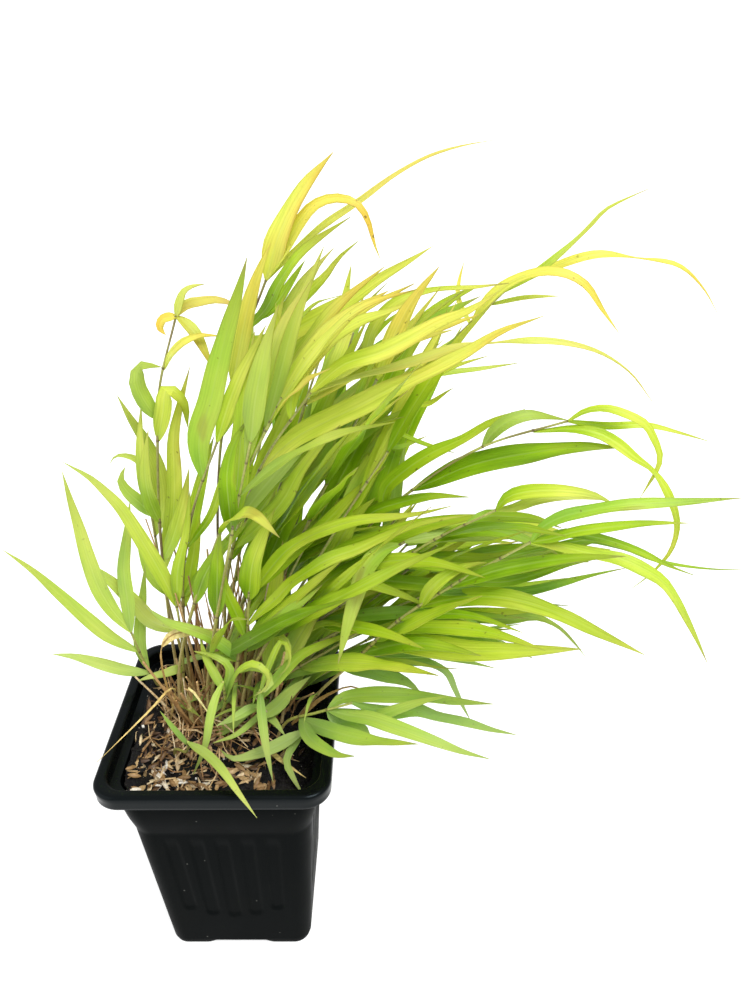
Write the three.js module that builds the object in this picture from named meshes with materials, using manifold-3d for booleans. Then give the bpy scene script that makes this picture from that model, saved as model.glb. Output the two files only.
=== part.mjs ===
// Japanese forest grass (Hakonechloa macra 'All Gold') growing in a black square nursery pot.
// Lengths are millimetres and +Z is up. The origin is the middle of the pot's underside, on the
// surface that the pot stands on. The clump leans to +X, and the pot's front face looks along -Y.

import * as THREE from 'three';
import { mergeVertices } from 'three/addons/utils/BufferGeometryUtils.js';
import Module from 'manifold-3d';

const wasm = await Module();
wasm.setup();
const { Manifold, Mesh: SolidMesh } = wasm;

// ---------------------------------------------------------------- driving dimensions

const POT_HEIGHT = 137.4;
const RIM_HALF = 57.5; // half the width over the rim
const FLOOR_Z = 4; // underside of the floor, between the feet
const FLOOR_THICK = 1.6;
const WALL = 1.5;
const WALL_PROFILE = [
  // [half width, z, corner radius] of the outer face, from the feet up to the lip
  [36.4, 0, 7],
  [37.9, 1.2, 8],
  [38.7, 4, 8.5],
  [45.4, 98.6, 10.5],
  [47.8, 109, 11.5],
  [49.2, 119, 12],
  [49.5, 129.3, 12],
];
const LIP_DROP = 8.4; // height of the lip's outer skirt
const LIP_SKIRT = 1.4; // its thickness
const LIP_TOP_WIDTH = 5.8; // width of the rim's flat top
const FLUTES_A_SIDE = 5;
const FLUTE_SPACING = 13;
const FLUTE_WIDTH = 8.2;
const FLUTE_DEPTH = 0.8;
const FLUTE_TOP_Z = 96;
const FLUTE_END_Z = 27; // of the middle flute; the outer ones end higher
const FOOT_ARCH = { half: 19, flatHalf: 10, height: 4 };
const DRAIN = { radius: 4, out: 24 };
const PAD_HALF = 9; // the moulded pad under the floor, flush with the feet

const SOIL_TOP = 116; // the level ground of the crown
const SOIL_EDGE = 110.5; // where the soil meets the wall
const SOIL_GAP = 0.3;
const CROWN = { x: -1, y: 25, rx: 35, ry: 19 }; // the patch that every stem rises from
const HULL_COUNT = 32;
const HULL = { length: 8.2, width: 3, thick: 1.9 };
const STUBBLE_COUNT = 22; // dry stalks of earlier years, left standing in the crown
const STUBBLE_RADIUS = 0.8;

const STEM_FOOT_DEPTH = 9; // how far a stem goes down into its hole
const STEM_CLEARANCE = 0.35; // round a stem in its hole
const STEM_SIDES = 3;
const STEM_SPAN = 42; // length of a stem between its bends, about
const STEM_RADIUS = [1.3, 0.9]; // at the foot and at the top
const BLADE_KEEL = 1.1; // thickness of a blade at its midrib, which stands out below
const BLADE_ROOT = 1.3; // width of a blade where it leaves the stem
const BLADE_WIDEST = 0.3; // where along its length a blade is widest
const CLEAR = 0.4; // least distance between one stem's blades and the next stem's
const FREE_FROM = 0.16; // past this share of its length a blade also keeps clear of its own stem

// ---------------------------------------------------------------- solids

function solidFrom(vertices, triangles) {
  return new Manifold(new SolidMesh({
    numProp: 3,
    vertProperties: new Float32Array(vertices.flat()),
    triVerts: new Uint32Array(triangles.flat()),
  }));
}

// A three.js geometry as a solid: only its positions count, and shared corners are merged.
function solidOfGeometry(geometry) {
  const bare = geometry.index ? geometry.toNonIndexed() : geometry.clone();
  bare.deleteAttribute('normal');
  bare.deleteAttribute('uv');
  const merged = mergeVertices(bare, 1e-4);
  return new Manifold(new SolidMesh({
    numProp: 3,
    vertProperties: new Float32Array(merged.attributes.position.array),
    triVerts: new Uint32Array(merged.index.array),
  }));
}

// Joins rings of equally many corners into one closed surface, capped at both ends.
// A ring turns counterclockwise as seen from the ring after it.
function loft(rings) {
  const n = rings[0].length;
  const vertices = rings.flat();
  const triangles = [];
  for (let r = 0; r + 1 < rings.length; r++) {
    for (let i = 0; i < n; i++) {
      const a = r * n + i;
      const b = r * n + (i + 1) % n;
      triangles.push([a, b, b + n], [a, b + n, a + n]);
    }
  }
  const last = (rings.length - 1) * n;
  for (let i = 1; i + 1 < n; i++) {
    triangles.push([0, i + 1, i], [last, last + i, last + i + 1]);
  }
  return solidFrom(vertices, triangles);
}

function joined(solids) {
  return solids.reduce((all, one) => all.add(one));
}

// The largest single body of a solid, so that no loose scrap stays with it.
function largestBody(solid) {
  return solid.decompose().reduce((a, b) => (a.volume() > b.volume() ? a : b));
}

function meshOf(name, solid, color, roughness) {
  const { vertProperties, triVerts, numProp, numVert } = solid.getMesh();
  const position = new Float32Array(numVert * 3);
  for (let i = 0; i < numVert; i++) {
    position.set(vertProperties.subarray(i * numProp, i * numProp + 3), i * 3);
  }
  const geometry = new THREE.BufferGeometry();
  geometry.setAttribute('position', new THREE.BufferAttribute(position, 3));
  geometry.setIndex(new THREE.BufferAttribute(new Uint32Array(triVerts), 1));
  geometry.computeVertexNormals();
  const mesh = new THREE.Mesh(
    geometry,
    new THREE.MeshStandardMaterial({ color, roughness, metalness: 0, flatShading: true }),
  );
  mesh.name = name;
  return mesh;
}

// ---------------------------------------------------------------- chance, always the same

function chance(seed) {
  let state = seed >>> 0;
  return () => {
    state = (state + 0x6D2B79F5) >>> 0;
    let t = Math.imul(state ^ (state >>> 15), state | 1);
    t = (t + Math.imul(t ^ (t >>> 7), t | 61)) ^ t;
    return ((t ^ (t >>> 14)) >>> 0) / 4294967296;
  };
}

const between = (random, low, high) => low + (high - low) * random();

// ---------------------------------------------------------------- pot

const CORNER_STEPS = 3;

function roundedSquare(half, z, radius) {
  const ring = [];
  for (let corner = 0; corner < 4; corner++) {
    const sx = corner === 0 || corner === 3 ? 1 : -1;
    const sy = corner < 2 ? 1 : -1;
    for (let step = 0; step <= CORNER_STEPS; step++) {
      const angle = (corner + step / CORNER_STEPS) * Math.PI / 2;
      ring.push([
        sx * (half - radius) + radius * Math.cos(angle),
        sy * (half - radius) + radius * Math.sin(angle),
        z,
      ]);
    }
  }
  return ring;
}

// Half width of the pot's outer wall at a height.
function wallHalf(z) {
  const above = WALL_PROFILE.findIndex(([, height]) => height >= z);
  const [h1, z1] = WALL_PROFILE[above];
  const [h0, z0] = WALL_PROFILE[Math.max(above - 1, 0)];
  return z1 === z0 ? h1 : h0 + (h1 - h0) * (z - z0) / (z1 - z0);
}

function potShell() {
  const [topHalf, topZ] = WALL_PROFILE[WALL_PROFILE.length - 1];
  const lipInner = RIM_HALF - LIP_TOP_WIDTH;
  const skirtZ = POT_HEIGHT - LIP_DROP;
  const floorTop = FLOOR_Z + FLOOR_THICK;
  const outside = WALL_PROFILE.map(([half, z, radius]) => roundedSquare(half, z, radius));
  const underLip = [
    roundedSquare(lipInner + WALL, topZ + 0.9, 12.5),
    roundedSquare(lipInner + WALL, POT_HEIGHT - LIP_SKIRT, 12.5),
    roundedSquare(RIM_HALF - LIP_SKIRT, POT_HEIGHT - LIP_SKIRT - 0.4, 12.5),
    roundedSquare(RIM_HALF - LIP_SKIRT, skirtZ, 12.5),
  ];
  const lip = [
    roundedSquare(RIM_HALF - 0.3, skirtZ, 13.4),
    roundedSquare(RIM_HALF, POT_HEIGHT - 1.9, 13.5),
    roundedSquare(RIM_HALF - 0.6, POT_HEIGHT - 0.6, 13),
    roundedSquare(RIM_HALF - 2, POT_HEIGHT, 12),
    roundedSquare(lipInner + 1.4, POT_HEIGHT, 11),
    roundedSquare(lipInner + 0.2, POT_HEIGHT - 0.9, 10.6),
    roundedSquare(lipInner, topZ + 1.6, 10.5),
  ];
  const inside = WALL_PROFILE.slice(2).reverse().map(([half, z, radius]) => (
    roundedSquare(half - WALL, Math.max(z, floorTop + 2), radius - WALL)
  ));
  const floor = [
    roundedSquare(WALL_PROFILE[2][0] - WALL - 1.4, floorTop, 6),
  ];
  const underside = [
    roundedSquare(WALL_PROFILE[0][0] - WALL - 0.8, FLOOR_Z, 6),
    roundedSquare(WALL_PROFILE[0][0] - WALL, 0, 6),
  ];
  return loft([...underside, ...outside, ...underLip, ...lip, ...inside, ...floor]);
}

// A bar along +Y whose outline is drawn in X and Z.
function barAlongY(outline, from, to) {
  const shape = new THREE.Shape(outline.map(([x, z]) => new THREE.Vector2(x, z)));
  const geometry = new THREE.ExtrudeGeometry(shape, { depth: to - from, bevelEnabled: false });
  geometry.rotateX(Math.PI / 2);
  geometry.translate(0, to, 0);
  return solidOfGeometry(geometry);
}

function footArch() {
  const { half, flatHalf, height } = FOOT_ARCH;
  const eased = (half + flatHalf) / 2;
  const right = [
    [half, -1], [half, 0], [eased + 1.5, height * 0.3], [eased - 2, height * 0.8], [flatHalf, height],
  ];
  const left = right.map(([x, z]) => [-x, z]).reverse();
  return barAlongY([...right, ...left], -60, 60);
}

// The cutter of one flute on the front face, a flat slot with a rounded lower end.
function flute(index) {
  const fromMiddle = index - (FLUTES_A_SIDE - 1) / 2;
  const end = FLUTE_END_Z + 1.6 * fromMiddle * fromMiddle;
  const half = FLUTE_WIDTH / 2;
  const slot = (z, shrink) => {
    const x = fromMiddle * FLUTE_SPACING * wallHalf(z) / wallHalf(FLUTE_TOP_Z);
    return [x - half * shrink, x + half * shrink];
  };
  const rows = [[FLUTE_TOP_Z, 0.92], [end + half * 0.8, 0.86], [end, 0.4]];
  const outline = [
    ...rows.map(([z, shrink]) => [slot(z, shrink)[1], z]),
    ...rows.map(([z, shrink]) => [slot(z, shrink)[0], z]).reverse(),
  ];
  const outer = outline.map(([x, z]) => [x, -wallHalf(z) - 2, z]);
  const inner = outline.map(([x, z]) => [x, -wallHalf(z) + FLUTE_DEPTH, z]);
  return loft([outer, inner]);
}

function pot() {
  let solid = potShell();
  for (const turn of [0, 90]) {
    solid = solid.subtract(footArch().rotate([0, 0, turn]));
  }
  for (const side of [0, 90, 180, 270]) {
    for (let i = 0; i < FLUTES_A_SIDE; i++) {
      solid = solid.subtract(flute(i).rotate([0, 0, side]));
    }
    const drain = new THREE.CylinderGeometry(DRAIN.radius, DRAIN.radius, 12, 8);
    drain.rotateX(Math.PI / 2);
    drain.translate(DRAIN.out, 0, FLOOR_Z);
    solid = solid.subtract(solidOfGeometry(drain).rotate([0, 0, side]));
  }
  const pad = new THREE.BoxGeometry(2 * PAD_HALF, 2 * PAD_HALF, FLOOR_Z + 0.8);
  pad.translate(0, 0, (FLOOR_Z + 0.8) / 2);
  return solid.add(solidOfGeometry(pad));
}

// ---------------------------------------------------------------- soil

// Height of the soil's surface: level at the crown, lower and uneven towards the walls.
function soilHeight(x, y) {
  const away = Math.hypot((x - CROWN.x) / (CROWN.rx + 9), (y - CROWN.y) / (CROWN.ry + 9));
  if (away <= 1) {
    return SOIL_TOP;
  }
  const fall = Math.min(1, (away - 1) / 1.1);
  const bumps = 0.9 * Math.sin(x * 0.31 + 1.3) * Math.cos(y * 0.37) + 0.6 * Math.sin(x * 0.73 - y * 0.52);
  return SOIL_TOP - (SOIL_TOP - SOIL_EDGE) * fall + (bumps - 1.5) * Math.min(1, (away - 1) * 4);
}

function soilBody() {
  const inset = WALL + SOIL_GAP;
  const floorTop = FLOOR_Z + FLOOR_THICK;
  const side = (z) => roundedSquare(wallHalf(z) - inset, z, 9);
  const edgeHalf = wallHalf(SOIL_EDGE - 3) - inset;
  const top = [1, 0.94, 0.86, 0.75, 0.62, 0.47, 0.31, 0.14].map((share) => (
    roundedSquare(edgeHalf * share, 0, 9 * share).map(([x, y]) => [x, y, soilHeight(x, y)])
  ));
  return loft([
    roundedSquare(WALL_PROFILE[2][0] - inset - 1.8, floorTop + SOIL_GAP, 5),
    roundedSquare(WALL_PROFILE[2][0] - inset, floorTop + 2 + SOIL_GAP, 6),
    side(WALL_PROFILE[3][1] - 0.2),
    ...top,
  ]);
}

// A rice hull: a small boat, pointed at both ends.
function hull() {
  const { length, width, thick } = HULL;
  const waist = [[0, -width / 2, 0], [0, 0, -thick / 2], [0, width / 2, 0], [0, 0, thick / 2]];
  const ends = [[-length / 2, 0, 0], [length / 2, 0, 0]];
  const triangles = [];
  for (let i = 0; i < 4; i++) {
    const j = (i + 1) % 4;
    triangles.push([4, j, i], [5, i, j]);
  }
  return solidFrom([...waist, ...ends], triangles);
}

// The soil with its hulls, before anything stands in it.
function soilWithHulls() {
  const random = chance(11);
  const span = wallHalf(SOIL_EDGE) - WALL - SOIL_GAP - HULL.length / 2 - 0.6;
  const parts = [soilBody()];
  while (parts.length <= HULL_COUNT) {
    const x = between(random, -span, span);
    const y = between(random, -span, span);
    const inCrown = Math.hypot((x - CROWN.x) / (CROWN.rx + 6), (y - CROWN.y) / (CROWN.ry + 6)) < 1;
    const bare = x > 18 && random() < 0.8;
    const turn = [between(random, -20, 20), between(random, -16, 16), between(random, 0, 360)];
    if (!inCrown && !bare) {
      parts.push(hull().rotate(turn).translate([x, y, soilHeight(x, y) + 0.35]));
    }
  }
  return joined(parts);
}

// ---------------------------------------------------------------- laying out the clump

// Stems and blades are laid out by eye from one standpoint. A place is [across, down, back]:
// across and down are read on a sighting grid GRID.reach units in front of EYE, square to its line
// of sight, and back is the place's y in millimetres, which is positive behind the pot's middle.
const EYE = new THREE.Vector3(91.85, -359.13, 473.09);
const GRID = { reach: 922.67, middle: [375, 500], pitch: 30.16, yaw: -1.77, roll: 1.64 };

const radians = THREE.MathUtils.degToRad;
const forward = new THREE.Vector3(
  Math.sin(radians(GRID.yaw)) * Math.cos(radians(GRID.pitch)),
  Math.cos(radians(GRID.yaw)) * Math.cos(radians(GRID.pitch)),
  -Math.sin(radians(GRID.pitch)),
);
const levelRight = new THREE.Vector3(Math.cos(radians(GRID.yaw)), -Math.sin(radians(GRID.yaw)), 0);
const levelDown = new THREE.Vector3().crossVectors(forward, levelRight);
const gridRight = levelRight.clone().applyAxisAngle(forward, radians(GRID.roll));
const gridDown = levelDown.clone().applyAxisAngle(forward, radians(GRID.roll));

function placed([across, down, back]) {
  const ray = forward.clone()
    .addScaledVector(gridRight, (across - GRID.middle[0]) / GRID.reach)
    .addScaledVector(gridDown, (down - GRID.middle[1]) / GRID.reach);
  return EYE.clone().addScaledVector(ray, (back - EYE.y) / ray.y);
}

function seenAt(point) {
  const away = point.clone().sub(EYE);
  const depth = away.dot(forward);
  return [
    GRID.middle[0] + GRID.reach * away.dot(gridRight) / depth,
    GRID.middle[1] + GRID.reach * away.dot(gridDown) / depth,
  ];
}

// A smooth line through points, as a fine chain of places. Slopes are weighted by the distance
// to the neighbours, so that short and long stretches meet without a loop.
const CHAIN_STEPS = 6;

function chainThrough(points) {
  const gaps = points.slice(1).map((p, i) => p.distanceTo(points[i]));
  const slopes = points.map((p, i) => {
    const before = Math.max(i - 1, 0);
    const after = Math.min(i, gaps.length - 1);
    const into = p.clone().sub(points[before]).divideScalar(gaps[before]);
    const out = (points[i + 1] || p).clone().sub(p).divideScalar(gaps[after]);
    if (i === 0) {
      return out;
    }
    if (i === points.length - 1) {
      return into;
    }
    return into.multiplyScalar(gaps[after]).addScaledVector(out, gaps[before])
      .divideScalar(gaps[before] + gaps[after]);
  });
  const chain = [points[0].clone()];
  for (let i = 0; i + 1 < points.length; i++) {
    for (let step = 1; step <= CHAIN_STEPS; step++) {
      const f = step / CHAIN_STEPS;
      const g = 1 - f;
      chain.push(points[i].clone().multiplyScalar((1 + 2 * f) * g * g)
        .addScaledVector(slopes[i], f * g * g * gaps[i])
        .addScaledVector(points[i + 1], f * f * (3 - 2 * f))
        .addScaledVector(slopes[i + 1], -f * f * g * gaps[i]));
    }
  }
  return chain;
}

// The places at given shares of a chain's length, each with its direction.
function stationsOn(chain, shares) {
  const reach = [0];
  for (let i = 1; i < chain.length; i++) {
    reach.push(reach[i - 1] + chain[i].distanceTo(chain[i - 1]));
  }
  const total = reach[reach.length - 1];
  return shares.map((share) => {
    const want = share * total;
    let i = reach.findIndex((r) => r >= want - 1e-9);
    i = Math.max(i, 1);
    const f = (want - reach[i - 1]) / (reach[i] - reach[i - 1]);
    const before = chain[Math.max(i - 2, 0)];
    const after = chain[Math.min(i + 1, chain.length - 1)];
    return {
      place: chain[i - 1].clone().lerp(chain[i], f),
      along: after.clone().sub(before).normalize(),
    };
  });
}

// ---------------------------------------------------------------- one stem, one blade

const evenShares = (spans) => Array.from({ length: spans + 1 }, (_, i) => i / spans);

const lengthOf = (chain) => chain.slice(1).reduce((sum, p, i) => sum + p.distanceTo(chain[i]), 0);

// A stem's middle line: straight between its bends.
function stemAxis(chain) {
  const spans = THREE.MathUtils.clamp(Math.round(lengthOf(chain) / STEM_SPAN), 3, 8);
  return stationsOn(chain, evenShares(spans)).map(({ place }) => place);
}

function stemTube(axis, grow, deeper) {
  const bottom = new THREE.Vector3(0, 0, -1);
  const spans = axis.length - 1;
  const rings = stationsOn(axis, evenShares(spans)).map(({ place, along }, k) => {
    const side = new THREE.Vector3(0.2, 1, 0.1).cross(along).normalize();
    const front = along.clone().cross(side);
    const radius = THREE.MathUtils.lerp(STEM_RADIUS[0], STEM_RADIUS[1], k / spans) + grow;
    const middle = k === 0 ? place.clone().addScaledVector(bottom, deeper) : place;
    return Array.from({ length: STEM_SIDES }, (_, i) => {
      const angle = 2 * Math.PI * i / STEM_SIDES;
      return middle.clone()
        .addScaledVector(side, radius * Math.cos(angle))
        .addScaledVector(front, radius * Math.sin(angle))
        .toArray();
    });
  });
  return loft(rings);
}

// A three-sided dry stalk.
function stubble(axis) {
  return loft(axis.map((place, k) => {
    const radius = STUBBLE_RADIUS * (1 - 0.15 * k);
    return [0, 1, 2].map((i) => {
      const angle = 2 * Math.PI * i / 3;
      return [place.x + radius * Math.cos(angle), place.y + radius * Math.sin(angle), place.z];
    });
  }));
}

// Width of a blade at a share of its length.
function bladeWidth(width, share) {
  if (share < BLADE_WIDEST) {
    return BLADE_ROOT + (width - BLADE_ROOT) * Math.sin(Math.PI / 2 * share / BLADE_WIDEST);
  }
  return width * (1 - ((share - BLADE_WIDEST) / (1 - BLADE_WIDEST)) ** 1.7);
}

// A thin blade that tapers to a point. `facing` is the way its upper face looks, as nearly as the
// blade's direction allows, and `roll` turns it at the root and at the tip, in degrees.
function blade({ chain, width, facing, roll, spans }, from = 0) {
  const shares = evenShares(spans).map((share) => from + (1 - from) * share ** 1.15);
  const stations = stationsOn(chain, shares);
  const vertices = [];
  const triangles = [];
  stations.forEach(({ place, along }, k) => {
    if (k === spans) {
      vertices.push(place.toArray());
      return;
    }
    const turn = radians(THREE.MathUtils.lerp(roll[0], roll[1], shares[k]));
    const flat = along.clone().cross(facing).normalize().applyAxisAngle(along, turn);
    const up = flat.clone().cross(along).normalize();
    const half = bladeWidth(width, shares[k]) / 2;
    for (const [s, t] of [[-1, 1 / 3], [0, -2 / 3], [1, 1 / 3]]) {
      const corner = place.clone().addScaledVector(flat, s * half).addScaledVector(up, t * BLADE_KEEL);
      vertices.push(corner.toArray());
    }
    if (k === 0) {
      return;
    }
    const b = 3 * k;
    const a = b - 3;
    // the upper face and the two under it are split the same way across, so that they stay apart
    triangles.push(
      [a, b, b + 1], [a, b + 1, a + 1],
      [a + 1, b + 1, b + 2], [a + 1, b + 2, a + 2],
      [a + 2, b + 2, a], [b + 2, b, a],
    );
  });
  const tip = 3 * spans;
  const b = tip - 3;
  triangles.push([b, tip, b + 1], [b + 1, tip, b + 2], [b + 2, tip, b], [0, 1, 2]);
  return solidFrom(vertices, triangles);
}

// ---------------------------------------------------------------- stems and blades laid out by hand

// foot: [x, y] in millimetres. path: the stem above its foot. A blade is
// [width in mm, how much further back its tip lies than its root, its line on the grid]; the line
// starts at the stem, and the blade grows from the nearest point of the stem.
const LAID_OUT = [
  {
    name: 'stem_tall_left',
    foot: [-12, 35],
    path: [
      [219, 594, 40], [218, 523, 44], [217, 480, 46], [222, 434, 47], [231, 387, 46],
      [247, 323, 44], [266, 280, 42],
    ],
    blades: [
      [9.8, -6, [266, 280, 270, 262, 276, 240, 285, 220, 296, 200, 308, 182, 320, 167, 333, 152]],
      [5.8, -12, [
        266, 280, 285, 248, 300, 222, 315, 205, 335, 198, 358, 204, 370, 225, 374, 242, 380, 258,
      ]],
      [3, 14, [266, 280, 285, 260, 320, 228, 358, 202, 395, 174, 430, 155, 465, 145, 495, 140]],
      [8.4, 20, [231, 387, 260, 352, 290, 332, 320, 316, 350, 300, 380, 278, 410, 260, 433, 246]],
      [6, -4, [247, 330, 268, 305, 277, 285, 300, 252, 330, 230, 350, 217]],
      [5, 12, [250, 322, 275, 305, 287, 288, 305, 260]],
      [6.2, 6, [243, 340, 262, 340, 285, 328, 297, 303, 312, 288, 325, 275, 338, 258, 358, 241]],
      [7.4, 16, [222, 434, 240, 400, 264, 368, 300, 340, 345, 309]],
      [8, -2, [232, 384, 240, 347, 247, 312, 254, 284, 262, 262, 271, 243]],
    ],
  },
  {
    name: 'stem_broad_blade',
    foot: [-24, 31],
    path: [
      [182, 609, 30], [188, 541, 26], [194, 505, 23], [200, 482, 20], [210, 455, 18],
      [217, 442, 16],
    ],
    blades: [
      [10.8, -6, [200, 482, 198, 440, 210, 400, 223, 350, 236, 300, 247, 257]],
      [4, 8, [190, 545, 210, 516, 224, 478, 245, 448, 262, 425]],
      [6.8, -8, [183, 595, 213, 559, 236, 531, 252, 500]],
      [6, 4, [217, 442, 226, 410, 240, 375, 256, 345, 266, 325]],
      [6.4, -6, [190, 540, 196, 500, 206, 462, 214, 436]],
    ],
  },
  {
    name: 'stem_bright_middle',
    foot: [-1, 29],
    path: [
      [222, 612, 27], [228, 582, 25], [234, 559, 22], [240, 519, 18], [249, 496, 15],
      [259, 472, 12], [276, 439, 8], [288, 420, 5], [311, 392, 0],
    ],
    blades: [
      [9.6, -18, [
        259, 472, 280, 450, 300, 435, 330, 420, 360, 405, 390, 388, 440, 365, 470, 350, 500, 332,
        543, 316,
      ]],
      [7.6, 14, [288, 420, 291, 400, 301, 375, 315, 355, 335, 335, 360, 320, 390, 310, 420, 298]],
      [7.2, -8, [311, 392, 345, 363, 380, 352, 410, 338, 440, 322, 470, 310, 500, 290]],
      [4.4, 12, [
        311, 392, 345, 380, 390, 368, 430, 356, 470, 345, 500, 342, 540, 340, 565, 342, 600, 352,
        630, 372, 652, 401,
      ]],
      [6.4, 10, [249, 496, 262, 462, 280, 425, 292, 398, 300, 372]],
      [6, -12, [240, 519, 262, 492, 290, 470, 325, 440, 352, 424]],
      [9.2, -4, [236, 548, 262, 522, 283, 500, 300, 472, 320, 445, 340, 425]],
    ],
  },
  {
    name: 'stem_high_right',
    foot: [9, 39],
    path: [
      [262, 640, 46], [300, 560, 56], [330, 495, 64], [350, 462, 68], [379, 418, 72],
      [400, 400, 74], [420, 375, 76], [450, 343, 78], [472, 319, 80], [505, 291, 80],
    ],
    blades: [
      [3.2, -8, [505, 291, 535, 273, 570, 245, 590, 226, 605, 210, 625, 199, 648, 189]],
      [4, 12, [505, 291, 550, 268, 595, 254, 640, 258, 680, 266, 705, 290, 717, 312]],
      [5.6, -14, [
        472, 319, 490, 297, 510, 282, 530, 274, 550, 271, 570, 275, 585, 284, 603, 310, 619, 333,
      ]],
      [2.6, 6, [490, 303, 525, 297, 560, 296]],
      [6.8, -14, [379, 418, 368, 385, 366, 350, 378, 320, 400, 300, 435, 289, 470, 287, 509, 283]],
      [11, 12, [379, 418, 388, 380, 405, 350, 425, 322, 450, 300, 480, 285]],
      [6, -6, [400, 400, 425, 360, 440, 330, 447, 310]],
      [3.4, -12, [408, 388, 425, 380, 455, 366, 487, 356]],
      [3, 8, [420, 375, 448, 372, 482, 368, 518, 363]],
      [3, -4, [400, 400, 420, 405, 453, 388]],
      [3, -16, [379, 418, 400, 433, 420, 442, 455, 453]],
      [2.4, 10, [472, 319, 458, 296, 460, 277, 464, 262]],
      [3, 4, [366, 438, 395, 447, 427, 436]],
    ],
  },
  {
    name: 'stem_arching_right',
    foot: [15, 32],
    path: [
      [285, 640, 34], [320, 585, 36], [350, 545, 37], [380, 517, 38], [415, 488, 38],
      [440, 472, 38], [484, 446, 36], [520, 432, 34], [568, 421, 32],
    ],
    blades: [
      [6.4, 10, [484, 446, 495, 430, 510, 420, 530, 415, 550, 417, 568, 420]],
      [4.6, -8, [
        568, 421, 585, 411, 604, 408, 625, 413, 647, 425, 655, 440, 660, 454, 658, 468, 651, 480,
        640, 498,
      ]],
      [3.4, 8, [568, 421, 606, 426, 647, 425, 682, 433, 708, 441]],
      [5.2, -20, [
        530, 430, 583, 430, 600, 434, 618, 444, 635, 457, 651, 468, 663, 483, 671, 499, 677, 527,
        667, 556, 661, 563, 647, 577, 632, 588,
      ]],
      [11.6, -10, [415, 488, 439, 478, 463, 468, 493, 460, 522, 454, 557, 448, 592, 446, 623, 448]],
      [7.6, 14, [380, 517, 386, 488, 404, 471, 432, 452, 463, 438, 493, 421, 525, 409]],
      [6.4, -10, [350, 545, 372, 512, 400, 503, 436, 496, 470, 497]],
      [9.4, 10, [312, 598, 318, 560, 324, 520, 340, 480, 362, 450, 386, 425]],
    ],
  },
  {
    name: 'stem_middle_right',
    foot: [17, 24],
    path: [
      [300, 640, 20], [340, 605, 14], [380, 579, 8], [411, 553, 4], [437, 539, 1], [463, 524, -2],
      [496, 510, -5],
    ],
    blades: [
      [6.6, -8, [496, 510, 507, 497, 526, 491, 550, 490, 576, 492, 597, 496, 615, 505]],
      [4.6, 6, [496, 510, 514, 508, 533, 501, 552, 497, 576, 496, 604, 500]],
      [6.2, 14, [463, 524, 485, 516, 510, 516, 540, 520, 562, 528]],
      [6.4, -10, [437, 539, 470, 530, 505, 532, 540, 545, 560, 555]],
      [6, 12, [411, 553, 440, 530, 470, 522, 500, 524]],
      [6.6, -14, [380, 579, 410, 560, 450, 557, 490, 556, 520, 549]],
      [7, 8, [340, 605, 368, 572, 400, 566, 440, 570, 478, 575]],
    ],
  },
  {
    name: 'stem_long_right',
    foot: [28, 17],
    path: [
      [295, 710, 15], [324, 689, 9], [354, 661, 1], [373, 646, -4], [398, 621, -10],
      [420, 603, -14], [458, 582, -20], [498, 558, -26], [531, 542, -30],
    ],
    blades: [
      [5.6, 6, [
        531, 542, 540, 529, 559, 518, 588, 511, 616, 506, 647, 503, 687, 501, 722, 499, 743, 498,
      ]],
      [4.6, -6, [531, 542, 550, 539, 573, 532, 604, 527, 640, 523, 689, 523]],
      [6.4, -14, [
        531, 542, 557, 546, 592, 553, 623, 560, 644, 570, 663, 582, 675, 598, 687, 619, 698, 641,
        707, 662,
      ]],
      [4.2, 14, [480, 568, 512, 563, 545, 560, 590, 562]],
      [4.6, 12, [531, 542, 565, 533, 600, 538, 640, 552, 670, 566, 694, 575]],
      [6.2, 6, [420, 603, 430, 589, 446, 575, 467, 565, 486, 562]],
      [8.6, -16, [
        420, 603, 441, 601, 474, 597, 510, 599, 540, 606, 569, 617, 592, 629, 616, 641, 645, 655,
      ]],
      [2.6, 26, [498, 558, 545, 548, 592, 540, 616, 546, 658, 561, 700, 568, 750, 570]],
      [5.2, 18, [458, 582, 484, 582, 503, 582, 533, 575, 564, 565, 592, 560]],
      [5.2, 24, [440, 592, 490, 590, 522, 591, 557, 584, 592, 575, 625, 568]],
      [5, 10, [
        398, 621, 420, 627, 450, 620, 480, 618, 510, 620, 535, 617, 557, 626, 573, 641, 585, 656,
      ]],
      [3.4, 14, [420, 603, 440, 612, 463, 617, 486, 630, 510, 648]],
      [10.4, -12, [373, 646, 392, 644, 422, 646, 468, 650, 510, 650, 545, 650, 583, 649]],
    ],
  },
  {
    name: 'stem_low_right',
    foot: [25, 26],
    path: [[300, 690, 22], [325, 672, 18], [348, 664, 14], [380, 655, 9]],
    blades: [
      [4.4, -12, [300, 690, 330, 666, 361, 661, 407, 661, 430, 666, 460, 669]],
      [9, -6, [340, 667, 365, 668, 385, 675, 408, 683, 421, 693]],
      [5.4, 14, [370, 660, 405, 660, 430, 663, 447, 673, 455, 689, 462, 704, 471, 721]],
      [4, 22, [380, 655, 430, 655, 470, 662, 495, 668]],
      [6.8, -6, [300, 690, 302, 655, 312, 628, 325, 605, 336, 583]],
    ],
  },
  {
    name: 'stem_low_spray',
    foot: [22, 5],
    path: [[287, 722, 2], [300, 717, -3], [328, 710, -9], [352, 703, -14]],
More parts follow.
